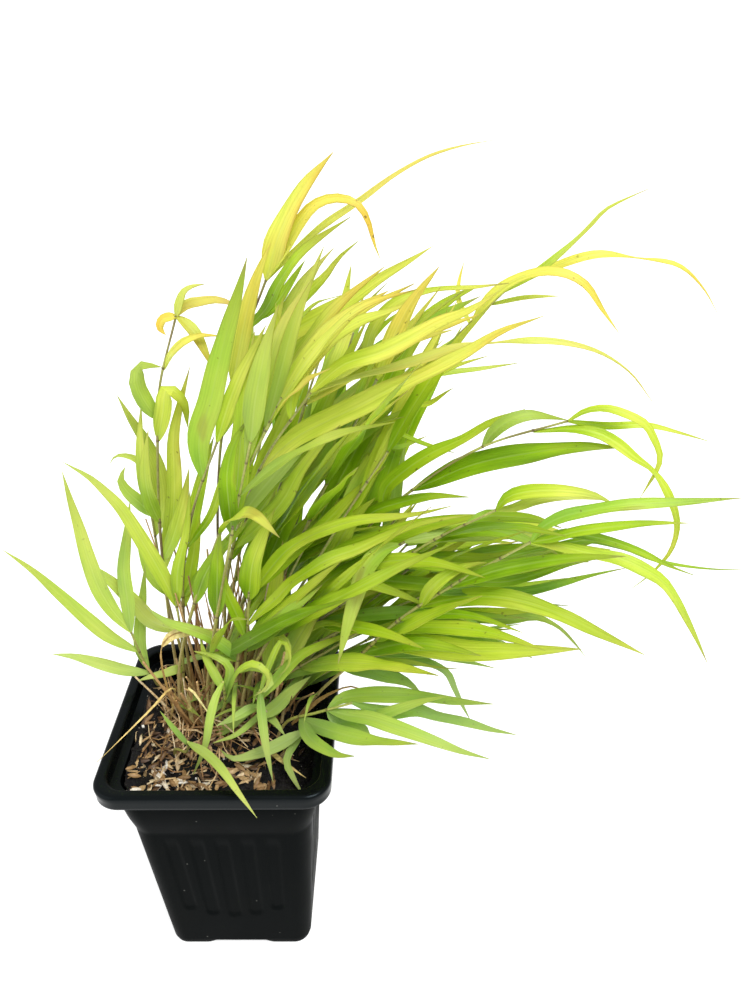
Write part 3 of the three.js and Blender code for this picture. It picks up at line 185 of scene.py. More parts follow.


# ---------------- stems and blades, laid out one by one

# A stem: its name, its foot in mm, how far the sun has flushed it, from 0 to 1, its path above the
# foot and its blades. A blade: its width in mm, how much further back its tip lies than its root, how
# golden it is, from 0, dark green, to 1, deep gold, and its line across and down on the sighting grid.
# The line starts at the stem, and the blade grows from the nearest point of the stem.
LAID_OUT = [
    ("tall_left", (-12, 35), 1.0, [(219, 594, 40), (218, 523, 44), (217, 480, 46), (222, 434, 47),
     (231, 387, 46), (247, 323, 44), (266, 280, 42)], [
        (9.8, -6, 0.74, 266, 280, 270, 262, 276, 240, 285, 220, 296, 200, 308, 182, 320, 167, 333, 152),
        (5.8, -12, 0.72, 266, 280, 285, 248, 300, 222, 315, 205, 335, 198, 358, 204, 370, 225, 374, 242,
         380, 258),
        (3, 14, 0.7, 266, 280, 285, 260, 320, 228, 358, 202, 395, 174, 430, 155, 465, 145, 495, 140),
        (8.4, 20, 0.5, 231, 387, 260, 352, 290, 332, 320, 316, 350, 300, 380, 278, 410, 260, 433, 246),
        (6, -4, 0.2, 247, 330, 268, 305, 277, 285, 300, 252, 330, 230, 350, 217),
        (5, 12, 0.16, 250, 322, 275, 305, 287, 288, 305, 260),
        (6.2, 6, 0.4, 243, 340, 262, 340, 285, 328, 297, 303, 312, 288, 325, 275, 338, 258, 358, 241),
        (7.4, 16, 0.36, 222, 434, 240, 400, 264, 368, 300, 340, 345, 309),
        (8, -2, 0.62, 232, 384, 240, 347, 247, 312, 254, 284, 262, 262, 271, 243),
    ]),
    ("broad_blade", (-24, 31), 0.7, [(182, 609, 30), (188, 541, 26), (194, 505, 23),
     (200, 482, 20), (210, 455, 18), (217, 442, 16)], [
        (10.8, -6, 0.36, 200, 482, 198, 440, 210, 400, 223, 350, 236, 300, 247, 257),
        (4, 8, 0.3, 190, 545, 210, 516, 224, 478, 245, 448, 262, 425),
        (6.8, -8, 0.22, 183, 595, 213, 559, 236, 531, 252, 500),
        (6, 4, 0.4, 217, 442, 226, 410, 240, 375, 256, 345, 266, 325),
        (6.4, -6, 0.3, 190, 540, 196, 500, 206, 462, 214, 436),
    ]),
    ("bright_middle", (-1, 29), 0.55, [(222, 612, 27), (228, 582, 25), (234, 559, 22),
     (240, 519, 18), (249, 496, 15), (259, 472, 12), (276, 439, 8), (288, 420, 5), (311, 392, 0)], [
        (9.6, -18, 0.58, 259, 472, 280, 450, 300, 435, 330, 420, 360, 405, 390, 388, 440, 365, 470, 350,
         500, 332, 543, 316),
        (7.6, 14, 0.54, 288, 420, 291, 400, 301, 375, 315, 355, 335, 335, 360, 320, 390, 310, 420, 298),
        (7.2, -8, 0.56, 311, 392, 345, 363, 380, 352, 410, 338, 440, 322, 470, 310, 500, 290),
        (4.4, 12, 0.66, 311, 392, 345, 380, 390, 368, 430, 356, 470, 345, 500, 342, 540, 340, 565, 342,
         600, 352, 630, 372, 652, 401),
        (6.4, 10, 0.42, 249, 496, 262, 462, 280, 425, 292, 398, 300, 372),
        (6, -12, 0.24, 240, 519, 262, 492, 290, 470, 325, 440, 352, 424),
        (9.2, -4, 0.34, 236, 548, 262, 522, 283, 500, 300, 472, 320, 445, 340, 425),
    ]),
    ("high_right", (9, 39), 0.75, [(262, 640, 46), (300, 560, 56), (330, 495, 64), (350, 462, 68),
     (379, 418, 72), (400, 400, 74), (420, 375, 76), (450, 343, 78), (472, 319, 80), (505, 291, 80)], [
        (3.2, -8, 0.6, 505, 291, 535, 273, 570, 245, 590, 226, 605, 210, 625, 199, 648, 189),
        (4, 12, 0.68, 505, 291, 550, 268, 595, 254, 640, 258, 680, 266, 705, 290, 717, 312),
        (5.6, -14, 0.7, 472, 319, 490, 297, 510, 282, 530, 274, 550, 271, 570, 275, 585, 284, 603, 310,
         619, 333),
        (2.6, 6, 0.6, 490, 303, 525, 297, 560, 296),
        (6.8, -14, 0.5, 379, 418, 368, 385, 366, 350, 378, 320, 400, 300, 435, 289, 470, 287, 509, 283),
        (11, 12, 0.34, 379, 418, 388, 380, 405, 350, 425, 322, 450, 300, 480, 285),
        (6, -6, 0.5, 400, 400, 425, 360, 440, 330, 447, 310),
        (3.4, -12, 0.5, 408, 388, 425, 380, 455, 366, 487, 356),
        (3, 8, 0.42, 420, 375, 448, 372, 482, 368, 518, 363),
        (3, -4, 0.3, 400, 400, 420, 405, 453, 388),
        (3, -16, 0.26, 379, 418, 400, 433, 420, 442, 455, 453),
        (2.4, 10, 0.6, 472, 319, 458, 296, 460, 277, 464, 262),
        (3, 4, 0.3, 366, 438, 395, 447, 427, 436),
    ]),
    ("arching_right", (15, 32), 0.6, [(285, 640, 34), (320, 585, 36), (350, 545, 37),
     (380, 517, 38), (415, 488, 38), (440, 472, 38), (484, 446, 36), (520, 432, 34), (568, 421, 32)], [
        (6.4, 10, 0.08, 484, 446, 495, 430, 510, 420, 530, 415, 550, 417, 568, 420),
        (4.6, -8, 0.46, 568, 421, 585, 411, 604, 408, 625, 413, 647, 425, 655, 440, 660, 454, 658, 468,
         651, 480, 640, 498),
        (3.4, 8, 0.4, 568, 421, 606, 426, 647, 425, 682, 433, 708, 441),
        (5.2, -20, 0.34, 530, 430, 583, 430, 600, 434, 618, 444, 635, 457, 651, 468, 663, 483, 671, 499,
         677, 527, 667, 556, 661, 563, 647, 577, 632, 588),
        (11.6, -10, 0.06, 415, 488, 439, 478, 463, 468, 493, 460, 522, 454, 557, 448, 592, 446, 623,
         448),
        (7.6, 14, 0.26, 380, 517, 386, 488, 404, 471, 432, 452, 463, 438, 493, 421, 525, 409),
        (6.4, -10, 0.12, 350, 545, 372, 512, 400, 503, 436, 496, 470, 497),
        (9.4, 10, 0.12, 312, 598, 318, 560, 324, 520, 340, 480, 362, 450, 386, 425),
    ]),
    ("middle_right", (17, 24), 0.45, [(300, 640, 20), (340, 605, 14), (380, 579, 8), (411, 553, 4),
     (437, 539, 1), (463, 524, -2), (496, 510, -5)], [
        (6.6, -8, 0.34, 496, 510, 507, 497, 526, 491, 550, 490, 576, 492, 597, 496, 615, 505),
        (4.6, 6, 0.46, 496, 510, 514, 508, 533, 501, 552, 497, 576, 496, 604, 500),
        (6.2, 14, 0.16, 463, 524, 485, 516, 510, 516, 540, 520, 562, 528),
        (6.4, -10, 0.12, 437, 539, 470, 530, 505, 532, 540, 545, 560, 555),
        (6, 12, 0.24, 411, 553, 440, 530, 470, 522, 500, 524),
        (6.6, -14, 0.2, 380, 579, 410, 560, 450, 557, 490, 556, 520, 549),
        (7, 8, 0.14, 340, 605, 368, 572, 400, 566, 440, 570, 478, 575),
    ]),
    ("long_right", (28, 17), 0.3, [(295, 710, 15), (324, 689, 9), (354, 661, 1), (373, 646, -4),
     (398, 621, -10), (420, 603, -14), (458, 582, -20), (498, 558, -26), (531, 542, -30)], [
        (5.6, 6, 0.3, 531, 542, 540, 529, 559, 518, 588, 511, 616, 506, 647, 503, 687, 501, 722, 499,
         743, 498),
        (4.6, -6, 0.24, 531, 542, 550, 539, 573, 532, 604, 527, 640, 523, 689, 523),
        (6.4, -14, 0.42, 531, 542, 557, 546, 592, 553, 623, 560, 644, 570, 663, 582, 675, 598, 687, 619,
         698, 641, 707, 662),
        (4.2, 14, 0.1, 480, 568, 512, 563, 545, 560, 590, 562),
        (4.6, 12, 0.14, 531, 542, 565, 533, 600, 538, 640, 552, 670, 566, 694, 575),
        (6.2, 6, 0.34, 420, 603, 430, 589, 446, 575, 467, 565, 486, 562),
        (8.6, -16, 0.28, 420, 603, 441, 601, 474, 597, 510, 599, 540, 606, 569, 617, 592, 629, 616, 641,
         645, 655),
        (2.6, 26, 0.14, 498, 558, 545, 548, 592, 540, 616, 546, 658, 561, 700, 568, 750, 570),
        (5.2, 18, 0.06, 458, 582, 484, 582, 503, 582, 533, 575, 564, 565, 592, 560),
        (5.2, 24, 0.06, 440, 592, 490, 590, 522, 591, 557, 584, 592, 575, 625, 568),
        (5, 10, 0.06, 398, 621, 420, 627, 450, 620, 480, 618, 510, 620, 535, 617, 557, 626, 573, 641,
         585, 656),
        (3.4, 14, 0.12, 420, 603, 440, 612, 463, 617, 486, 630, 510, 648),
        (10.4, -12, 0.34, 373, 646, 392, 644, 422, 646, 468, 650, 510, 650, 545, 650, 583, 649),
    ]),
    ("low_right", (25, 26), 0.45, [(300, 690, 22), (325, 672, 18), (348, 664, 14),
     (380, 655, 9)], [
        (4.4, -12, 0.3, 300, 690, 330, 666, 361, 661, 407, 661, 430, 666, 460, 669),
        (9, -6, 0.12, 340, 667, 365, 668, 385, 675, 408, 683, 421, 693),
        (5.4, 14, 0.1, 370, 660, 405, 660, 430, 663, 447, 673, 455, 689, 462, 704, 471, 721),
        (4, 22, 0.24, 380, 655, 430, 655, 470, 662, 495, 668),
        (6.8, -6, 0.3, 300, 690, 302, 655, 312, 628, 325, 605, 336, 583),
    ]),
    ("low_spray", (22, 5), 0.1, [(287, 722, 2), (300, 717, -3), (328, 710, -9), (352, 703, -14)], [
        (8.4, 6, 0.26, 328, 710, 340, 699, 361, 695, 392, 694, 422, 696, 453, 701, 494, 704),
        (6, -10, 0.2, 328, 710, 350, 714, 376, 716, 398, 709, 422, 701, 448, 696),
        (7.4, -18, 0.3, 328, 710, 346, 715, 369, 718, 392, 725, 415, 733, 438, 742, 461, 751, 490, 759),
        (8.4, -6, 0.24, 300, 717, 315, 725, 338, 733, 361, 738, 384, 741, 418, 744),
        (7, 10, 0.2, 352, 703, 375, 710, 392, 713, 415, 710, 438, 716, 468, 722, 491, 729, 517, 735),
        (6.2, -16, 0.22, 300, 717, 309, 736, 323, 747, 338, 755, 354, 756),
        (6, -22, 0.1, 328, 710, 338, 721, 354, 722, 366, 730, 371, 742),
    ]),
    ("small_golden", (-33, 37), 0.8, [(172, 640, 42), (163, 560, 44), (158, 500, 45),
     (158, 440, 46), (158, 400, 46), (163, 366, 46), (167, 335, 46), (176, 316, 46)], [
        (4, -4, 0.6, 176, 316, 180, 300, 185, 290, 193, 286, 204, 284),
        (5.2, 6, 0.84, 176, 316, 185, 305, 200, 301, 215, 299, 240, 306),
        (5.2, -8, 0.86, 176, 316, 185, 322, 193, 330, 200, 342, 212, 368),
        (5, -2, 0.82, 175, 318, 162, 320, 160, 328, 166, 335),
        (4.6, 4, 0.66, 163, 366, 172, 352, 185, 340, 198, 335, 222, 336),
        (8, -6, 0.24, 158, 418, 145, 400, 137, 380, 140, 366, 162, 367),
        (7.6, 8, 0.42, 158, 440, 163, 412, 168, 388, 180, 396, 188, 428),
        (7, -6, 0.38, 159, 525, 150, 500, 145, 462, 148, 430),
        (7.4, 8, 0.38, 163, 560, 176, 530, 184, 500, 189, 468),
    ]),
    ("left_upper", (-27, 41), 0.45, [(178, 640, 47), (168, 600, 50), (157, 560, 51),
     (153, 517, 52), (148, 490, 52), (144, 470, 52)], [
        (5.6, 4, 0.36, 153, 510, 143, 475, 140, 440, 141, 403),
        (8.6, -12, 0.42, 156, 535, 162, 500, 157, 465, 145, 440, 130, 418, 117, 395),
        (3.6, -4, 0.4, 148, 485, 138, 460, 125, 455, 115, 456, 110, 463),
        (6.6, 8, 0.34, 153, 517, 140, 503, 128, 492, 121, 480, 125, 467),
        (8, -6, 0.46, 162, 575, 172, 520, 174, 470, 174, 440, 180, 405, 190, 366),
        (6, 10, 0.3, 166, 594, 152, 575, 141, 545, 133, 518),
    ]),
    ("left_outer", (-42, 27), 0.45, [(160, 690, 26), (150, 677, 24), (145, 664, 22),
     (138, 650, 20), (131, 632, 18)], [
        (6.6, -8, 0.36, 148, 674, 130, 671, 100, 664, 70, 656, 52, 654),
        (6, 10, 0.3, 147, 672, 141, 650, 140, 620, 143, 590, 145, 565),
        (6.8, -14, 0.4, 138, 652, 125, 645, 110, 637, 90, 622, 60, 595, 30, 568, 3, 550),
        (7.6, 4, 0.42, 131, 632, 112, 610, 100, 590, 90, 562, 80, 530, 70, 500, 62, 471),
        (6.8, 16, 0.3, 131, 632, 127, 600, 124, 570, 127, 540, 130, 500),
    ]),
    ("left_middle", (-33, 22), 0.45, [(184, 682, 23), (183, 655, 24), (180, 625, 24),
     (176, 600, 24)], [
        (7.4, -12, 0.4, 180, 607, 165, 580, 150, 553, 135, 530, 120, 508, 105, 492, 90, 478, 63, 462),
        (7.8, 6, 0.3, 184, 630, 168, 628, 150, 620, 135, 603, 120, 588, 100, 572, 80, 559),
        (5, -12, 0.4, 189, 672, 181, 669, 164, 673, 148, 677, 138, 681),
        (6, 10, 0.26, 180, 607, 178, 570, 186, 530, 190, 490),
    ]),
    ("centre", (2, 19), 0.45, [(246, 665, 17), (247, 640, 14), (247, 612, 12), (249, 590, 10)], [
        (6.8, -10, 0.34, 248, 598, 260, 582, 272, 566, 285, 551, 303, 539, 330, 528, 356, 521, 392, 517,
         420, 513, 451, 506),
        (6.8, -20, 0.38, 247, 625, 260, 612, 276, 598, 289, 584, 308, 571, 330, 559, 356, 550, 383, 537,
         420, 523, 470, 515),
        (10.6, 6, 0.24, 248, 600, 252, 562, 263, 535, 275, 508),
        (6, -6, 0.3, 247, 640, 236, 612, 225, 585, 222, 560),
        (8.6, -24, 0.3, 247, 645, 262, 626, 285, 607, 305, 590, 325, 573, 342, 560),
        (8, 14, 0.3, 249, 592, 268, 575, 290, 553, 325, 522, 355, 492, 385, 466),
        (5, -14, 0.3, 247, 650, 262, 640, 282, 626, 300, 613),
    ]),
    ("olive_centre", (11, 27), 0.45, [(268, 660, 22), (300, 615, 16), (335, 582, 10),
     (370, 559, 6), (405, 542, 3)], [
        (7.8, -18, 0.48, 400, 545, 385, 549, 370, 563, 357, 594, 347, 625, 338, 664),
        (6.2, 8, 0.2, 405, 542, 440, 536, 480, 535, 530, 536, 560, 540),
        (6.6, -6, 0.16, 370, 559, 400, 562, 440, 566, 490, 563),
        (6.8, 14, 0.14, 335, 582, 370, 580, 420, 583, 475, 590, 520, 589),
        (6.6, -14, 0.3, 300, 615, 330, 590, 350, 580, 390, 590, 440, 612),
    ]),
    ("front_left", (-9, 9), 0.1, [(226, 712, 4), (224, 696, 0), (223, 682, -4)], [
        (4, -14, 0.34, 223, 682, 217, 694, 211, 715, 206, 742, 193, 775),
        (4.2, 6, 0.34, 224, 694, 228, 664, 212, 655, 194, 651),
        (4.6, -8, 0.34, 224, 700, 232, 682, 242, 668, 256, 664, 268, 674, 264, 690, 254, 696),
        (4.4, 10, 0.34, 223, 690, 214, 672, 205, 655, 200, 638),
    ]),
    ("front_right", (8, 6), 0.1, [(262, 722, 1), (262, 706, -3), (260, 690, -7)], [
        (4.4, -26, 0.3, 260, 690, 261, 708, 265, 743, 273, 782),
        (4.8, -12, 0.3, 262, 706, 250, 709, 239, 715, 216, 726),
        (3.2, -22, 0.3, 262, 712, 250, 724, 239, 733, 213, 743),
        (6.8, 6, 0.3, 262, 720, 274, 708, 290, 692, 311, 676),
        (6.2, 12, 0.3, 261, 698, 285, 670, 300, 656, 331, 641, 366, 628),
        (3, 2, 0.3, 260, 692, 268, 668, 284, 640, 290, 652, 287, 668, 279, 676),
    ]),
    ("front_low", (30, -6), 0.1, [(303, 738, -10), (304, 731, -12)], [
        (6.2, -8, 0.34, 304, 731, 281, 743, 256, 753, 231, 758, 221, 750),
        (3.8, -22, 0.34, 303, 735, 286, 762, 292, 776, 304, 796),
    ]),
    ("front_edge", (-28, -8), 0.1, [(187, 752, -16), (188, 742, -20)], [
        (4.8, -46, 0.46, 188, 742, 206, 754, 223, 771, 239, 793, 257, 818),
        (2.8, -4, 0.2, 188, 744, 173, 727, 160, 711),
    ]),
]
# last year's leaves: blades whose lines start at a place of the mix, in mm
DRY_BLADES = [
    (2.2, 6, 0.35, -34, 18, 178, 632, 200, 631, 223, 629),
    (1.6, -20, 0.35, -36, 14, 168, 690, 152, 708, 140, 720, 97, 762),
    (2, -18, 0.35, -22, 10, 192, 690, 205, 708, 219, 729),
    (1.8, -30, 0.35, -14, 8, 200, 740, 182, 752, 168, 764),
    (2.6, -26, 0.35, 20, 6, 271, 749, 289, 766, 306, 778),
    (2.2, -16, 0.35, 30, 14, 337, 690, 349, 686, 364, 690, 376, 695),
]
# the outline, on the grid, in which filling blades end
HEART = [
    [185, 560], [196, 510], [214, 430], [226, 370], [250, 318], [272, 290], [300, 262], [330, 240],
    [376, 262], [436, 262], [470, 292], [497, 300], [470, 330], [445, 355], [430, 385], [405, 425],
    [388, 455], [375, 492], [430, 500], [520, 520], [590, 535], [640, 555], [590, 572], [545, 585],
    [590, 622], [540, 632], [565, 648], [500, 668], [440, 676], [360, 690], [300, 700], [230, 690],
    [190, 640],
]
# a line along which the inner stems end
INNER_ENDS = [
    [232, 440], [250, 400], [275, 365], [300, 345], [330, 330], [360, 340], [385, 370], [385, 410],
    [375, 450], [370, 490], [395, 520], [430, 535], [450, 560], [440, 590], [410, 620], [385, 645],
]
INNER_STEMS = 24
CROWN_SEEN = (245, 665)  # the crown on the grid
SHORT_REACH = 0.5  # of every third inner stem
INNER_BACK = (-10, 84)  # how far back inner stems may end
INNER_BLADES = 7
INNER_LENGTH, INNER_DROOP, INNER_WIDTH = (92, 150), (0.06, 0.36), (7.4, 11)
LINE = slice(3, 5)  # of a blade's row, the start of its line
HAND_SEED, DRY_SEED, YOUNG_SEED = 300, 900, 1200
HAND_TRIES = 16
RULE_TRIES = 90
AXIS_TRIES = 200


# ---------------- chance, always the same

WORD = 0xFFFFFFFF


def chance(seed):
    """Draws from low to high that are the same each run, and the same as the frame's own."""
    state = seed & WORD

    def draw(low=0.0, high=1.0):
        nonlocal state
        state = (state + 0x6D2B79F5) & WORD
        t = ((state ^ (state >> 15)) * (state | 1)) & WORD
        t = ((t + (((t ^ (t >> 7)) * (t | 61)) & WORD)) & WORD) ^ t
        return low + (high - low) * ((t ^ (t >> 14)) / (WORD + 1))

    return draw


def mix(a, b, share):
    return (1 - share) * a + share * b


def eased(value, low, high):
    """0 below low, 1 above high, and smooth between them."""
    share = min(max((value - low) / (high - low), 0), 1)
    return share * share * (3 - 2 * share)


# ---------------- places and directions

UP = np.array((0.0, 0.0, 1.0))


def cross(a, b):
    return np.array((a[1] * b[2] - a[2] * b[1], a[2] * b[0] - a[0] * b[2], a[0] * b[1] - a[1] * b[0]))


def unit(v):
    return v / sqrt(v @ v)


def square_to(along):
    """Two ways square to a direction and to each other."""
    side = unit(cross(np.array((0.2, 1, 0.1)), along))
    return side, cross(along, side)


def turned(v, axis, angle):
    """v turned about a unit axis by the right-hand rule."""
    cosine = cos(angle)
    return v * cosine + cross(axis, v) * sin(angle) + axis * (axis @ v) * (1 - cosine)


# A place in the layout is [across, down, back]: across and down are read on a sighting grid
# REACH units in front of EYE, square to its line of sight, and back is the place's y.
EYE = np.array((91.85, -359.13, 473.09))
REACH = 922.67
GRID_MIDDLE = (375, 500)
PITCH, YAW, ROLL = radians(30.16), radians(-1.77), radians(1.64)
FORWARD = np.array((sin(YAW) * cos(PITCH), cos(YAW) * cos(PITCH), -sin(PITCH)))
LEVEL_RIGHT = np.array((cos(YAW), -sin(YAW), 0.0))
GRID_RIGHT = turned(LEVEL_RIGHT, FORWARD, ROLL)
GRID_DOWN = turned(cross(FORWARD, LEVEL_RIGHT), FORWARD, ROLL)


def ray_to(across, down):
    return (FORWARD + GRID_RIGHT * ((across - GRID_MIDDLE[0]) / REACH)
            + GRID_DOWN * ((down - GRID_MIDDLE[1]) / REACH))


def placed(across, down, back):
    ray = ray_to(across, down)
    return EYE + ray * ((back - EYE[1]) / ray[1])


def lying_at(across, down, z):
    """The place at height z that shows at across, down on the sighting grid."""
    ray = ray_to(across, down)
    return EYE + ray * ((z - EYE[2]) / ray[2])


def seen_at(place):
    away = place - EYE
    depth = away @ FORWARD
    return (GRID_MIDDLE[0] + REACH * (away @ GRID_RIGHT) / depth,
            GRID_MIDDLE[1] + REACH * (away @ GRID_DOWN) / depth)


CHAIN_STEPS = 6


def chain_through(points):
    """A smooth line through points as a fine chain, with slopes weighted by the distances."""
    points = np.array(points)
    steps = points[1:] - points[:-1]
    gaps = np.sqrt((steps ** 2).sum(1))
    ways = steps / gaps[:, None]
    slopes = np.empty_like(points)
    slopes[0], slopes[-1] = ways[0], ways[-1]
    before, after = gaps[:-1, None], gaps[1:, None]
    slopes[1:-1] = (ways[:-1] * after + ways[1:] * before) / (before + after)
    f = (np.arange(1, CHAIN_STEPS + 1) / CHAIN_STEPS)[None, :, None]
    g = 1 - f
    a, b, gap = points[:-1, None], points[1:, None], gaps[:, None, None]
    fine = (a * ((1 + 2 * f) * g * g) + slopes[:-1, None] * (f * g * g) * gap
            + b * (f * f * (3 - 2 * f)) - slopes[1:, None] * (f * f * g) * gap)
    return np.concatenate((points[:1], fine.reshape(-1, 3)))


def length_of(chain):
    return float(np.sqrt(((chain[1:] - chain[:-1]) ** 2).sum(1)).sum())


def stations_on(chain, shares):
    """The places at shares of a chain's length, each with its direction."""
    reach = np.concatenate(((0,), np.cumsum(np.sqrt(((chain[1:] - chain[:-1]) ** 2).sum(1)))))
    made = []
    for share in shares:
        want = share * reach[-1]
        i = min(max(int(np.searchsorted(reach, want - 1e-9)), 1), len(chain) - 1)
        f = (want - reach[i - 1]) / (reach[i] - reach[i - 1])
        way = chain[min(i + 1, len(chain) - 1)] - chain[max(i - 2, 0)]
        made.append((chain[i - 1] + (chain[i] - chain[i - 1]) * f, unit(way)))
    return made


def even_shares(spans):
    return [i / spans for i in range(spans + 1)]


def places_on(line, shares):
    return np.array([place for place, _ in stations_on(np.array(line), shares)])


# ---------------- stems and blades as the frame has them

def foot_points(x, y):
    return [np.array((x, y, SOIL_TOP - STEM_FOOT_DEPTH)), np.array((x, y, SOIL_TOP + 3.0))]


def stem_axis(chain):
    spans = min(max(int(length_of(chain) / STEM_SPAN + 0.5), 3), 8)
    return places_on(chain, even_shares(spans))


def hand_axis(foot, path):
    return stem_axis(chain_through(foot_points(*foot) + [placed(*mark) for mark in path]))


def place_in_crown(random):
    angle = random(0, 2 * pi)
    out = sqrt(random())
    return CROWN_X + CROWN_RX * out * cos(angle), CROWN_Y + CROWN_RY * out * sin(angle)


def inner_axis(index, attempt):
    random = chance(1000 + index * 137 + attempt)
    share = (index + 0.5) / INNER_STEMS * (len(INNER_ENDS) - 1)
    near = int(share)
    reach = SHORT_REACH if index % 3 == 1 else 1
    end = []
    for i in range(2):
        far = mix(INNER_ENDS[near][i], INNER_ENDS[near + 1][i], share - near)
        end.append(mix(CROWN_SEEN[i], far, reach) + random(-22, 22))
    foot = place_in_crown(random)
    back = foot[1] * 0.5 + random(*INNER_BACK) * 0.8 * reach
    top = placed(*end, back)
    points = foot_points(*foot)
    rise = dist(points[1], top) * random(0.05, 0.12)
    return stem_axis(chain_through([*points, (points[1] + top) / 2 + UP * rise, top]))


def foot_corners(axis):
    """The three corners of the frame's tube at its foot."""
    middle, along = stations_on(axis, [0])[0]
    side, front = square_to(along)
    angles = [2 * pi * i / 3 for i in range(3)]
    return [middle + (side * cos(a) + front * sin(a)) * FRAME_STEM_RADIUS[0] for a in angles]


def facing_of(place, lean):
    """The way a blade's upper face looks: up, and by lean towards the light in front."""
    return unit(unit(EYE - place) * lean + UP)


def drawn_from(root, line, back, swell):
    """A line on the grid as places from a root: it leaves the root's depth evenly by back."""
    marks = [seen_at(root)] + [(line[i], line[i + 1]) for i in range(2, len(line), 2)]
    reach = [0.0]
    for a, b in zip(marks, marks[1:]):
        reach.append(reach[-1] + dist(a, b))
    shares = [r / reach[-1] for r in reach]
    return [root] + [
        placed(*mark, root[1] + back * share - swell * sin(pi * share))
        for mark, share in zip(marks[1:], shares[1:])]


def hand_blade(root, row, seed, attempt):
    width, back, tone, *line = row
    random = chance(seed)
    bend = ceil(attempt / 2) * (7 if attempt % 2 else -7)
    points = drawn_from(root, line, back + bend, attempt % 3 * 3)
    return {
        "points": points,
        "width": width,
        "facing": facing_of(points[-1], 1.1),
        "roll": (random(-16, 16), random(-22, 22)),
        "tone": tone,
    }


def arched(root, heading, length, droop):
    """A line that sets out along a heading and droops more and more."""
    return [root + heading * (length * s) - UP * (droop * length * s * s) for s in (0, 0.3, 0.65, 1)]


def sideways_of(random, root, along):
    """A way square to a stem, to one side of the light and turned by chance."""
    square = unit(cross(along, facing_of(root, 0.7)))
    return turned(square, along, radians(random(-60, 60)))


def side_blade(random, root, heading, length, droops, widths):
    """A blade that grows out of a stem along a heading."""
    points = arched(root, heading, length, random(*droops))
    return {
        "points": points,
        "width": random(*widths),
        "facing": facing_of(points[3], random(0.3, 1.2)),
        "roll": (random(-20, 20), random(-30, 30)),
    }


def inner_share(number):
    """How far up its stem an inner blade grows."""
    return mix(0.26, 1, number / (INNER_BLADES - 1))


def inner_blade(axis, index, number, attempt):
    random = chance(50000 + index * 997 + number * 101 + attempt)
    last = number == INNER_BLADES - 1
    root, along = stations_on(axis, [inner_share(number)])[0]
    sideways = sideways_of(random, root, along)
    spread = radians(random(-10, 10) if last else random(14, 36))
    heading = along * cos(spread) + sideways * (sin(spread) * (1 if number % 2 else -1))
    length = random(*INNER_LENGTH) * (0.8 if last else 1)
    return side_blade(random, root, heading, length, INNER_DROOP, INNER_WIDTH)


def inside_heart(across, down):
    inside = False
    for (xi, yi), (xj, yj) in zip(HEART, HEART[-1:] + HEART[:-1]):
        if (yi > down) != (yj > down) and across < (xj - xi) * (down - yi) / (yj - yi) + xi:
            inside = not inside
    return inside


def stubble_axis(index, attempt):
    random = chance(90000 + index * 211 + attempt)
    x, y = place_in_crown(random)
    height = random(14, 66)
    lean = np.array((
        (x - CROWN_X) / CROWN_RX * 0.3 + random(-0.15, 0.2),
        (y - CROWN_Y) / CROWN_RY * 0.25 + random(-0.2, 0.2),
        1))
    foot = np.array((x, y, SOIL_TOP - 2))
    top = foot + lean * height + np.array((random(-3, 3), 0, 0))
    return [foot, foot + lean * (height / 2), top]


class Corners:
    """The corners of one node's solid, to tell which of the numbered attempts the frame kept."""

    NEAR = 0.05

    def __init__(self, name):
        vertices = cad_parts[name].data.vertices
        self.tree = KDTree(len(vertices))
        for vertex in vertices:
            self.tree.insert(vertex.co / MM, vertex.index)
        self.tree.balance()

    def has(self, place):
        return self.tree.find(Vector(place))[2] < self.NEAR

    def first(self, tries, plan_of, places_of=lambda plan: plan["points"][-1:]):
        """The first plan whose places, of a blade its tip, are all corners of the node, or None."""
        for attempt in range(tries):
            plan = plan_of(attempt)
            if all(self.has(place) for place in places_of(plan)):
                return plan
        return None


# ---------------- making meshes

def new_mesh(*layers):
    """An empty bmesh whose vertices carry the named numbers for the materials to read."""
    bm = bmesh.new()
    for name in layers:
        bm.verts.layers.float.new(name)
    return bm


def mark(bm, vertices, **numbers):
    """Gives vertices their numbers, each one value for all of them or one value apiece."""
    for name, values in numbers.items():
        layer = bm.verts.layers.float[name]
        values = np.broadcast_to(np.ravel(values), (len(vertices),)).tolist()
        for vertex, value in zip(vertices, values):
            vertex[layer] = value


def sheet_of(bm, places):
    """A grid of faces with its corners at places[row][column]. They look to the side on which
    the rows run to the left of the columns."""
    rows, columns = len(places) - 1, len(places[0]) - 1
    made = bmesh.ops.create_grid(bm, x_segments=columns, y_segments=rows, size=0.5)["verts"]
    for corner, place in zip(made, places.reshape(-1, 3).tolist()):
        corner.co = place
    return made


def tube_places(chain, radii, sides, shares):
    """Rings round a chain, drawn to a point at both ends: [row][column] places."""
    around = np.linspace(0, 2 * pi, sides + 1)
    rings = []
    for (place, along), radius in zip(stations_on(chain, shares), radii):
        side, front = square_to(along)
        out = np.outer(np.cos(around), side) + np.outer(np.sin(around), front)
        rings.append(place + radius * out)
    return np.array(rings)


def closed(bm, vertices):
    """Merges the seam and the poles of a sheet that was rolled up."""
    bmesh.ops.remove_doubles(bm, verts=vertices, dist=1e-4)


def thicken(bm, thickness):
    """Gives every sheet of a bmesh its thickness."""
    bmesh.ops.solidify(bm, geom=bm.faces[:], thickness=thickness)
    bmesh.ops.recalc_face_normals(bm, faces=bm.faces)


def mesh_of(name, bm, scale=MM):
    """The mesh of a bmesh in millimetres, which it uses up."""
    bmesh.ops.transform(bm, matrix=Matrix.Scale(scale, 4), verts=bm.verts)
    mesh = bpy.data.meshes.new(name)
    bm.to_mesh(mesh)
    bm.free()
    return mesh


def new_object(name, data):
    made = bpy.data.objects.new(name, data)
    bpy.context.scene.collection.objects.link(made)
    return made


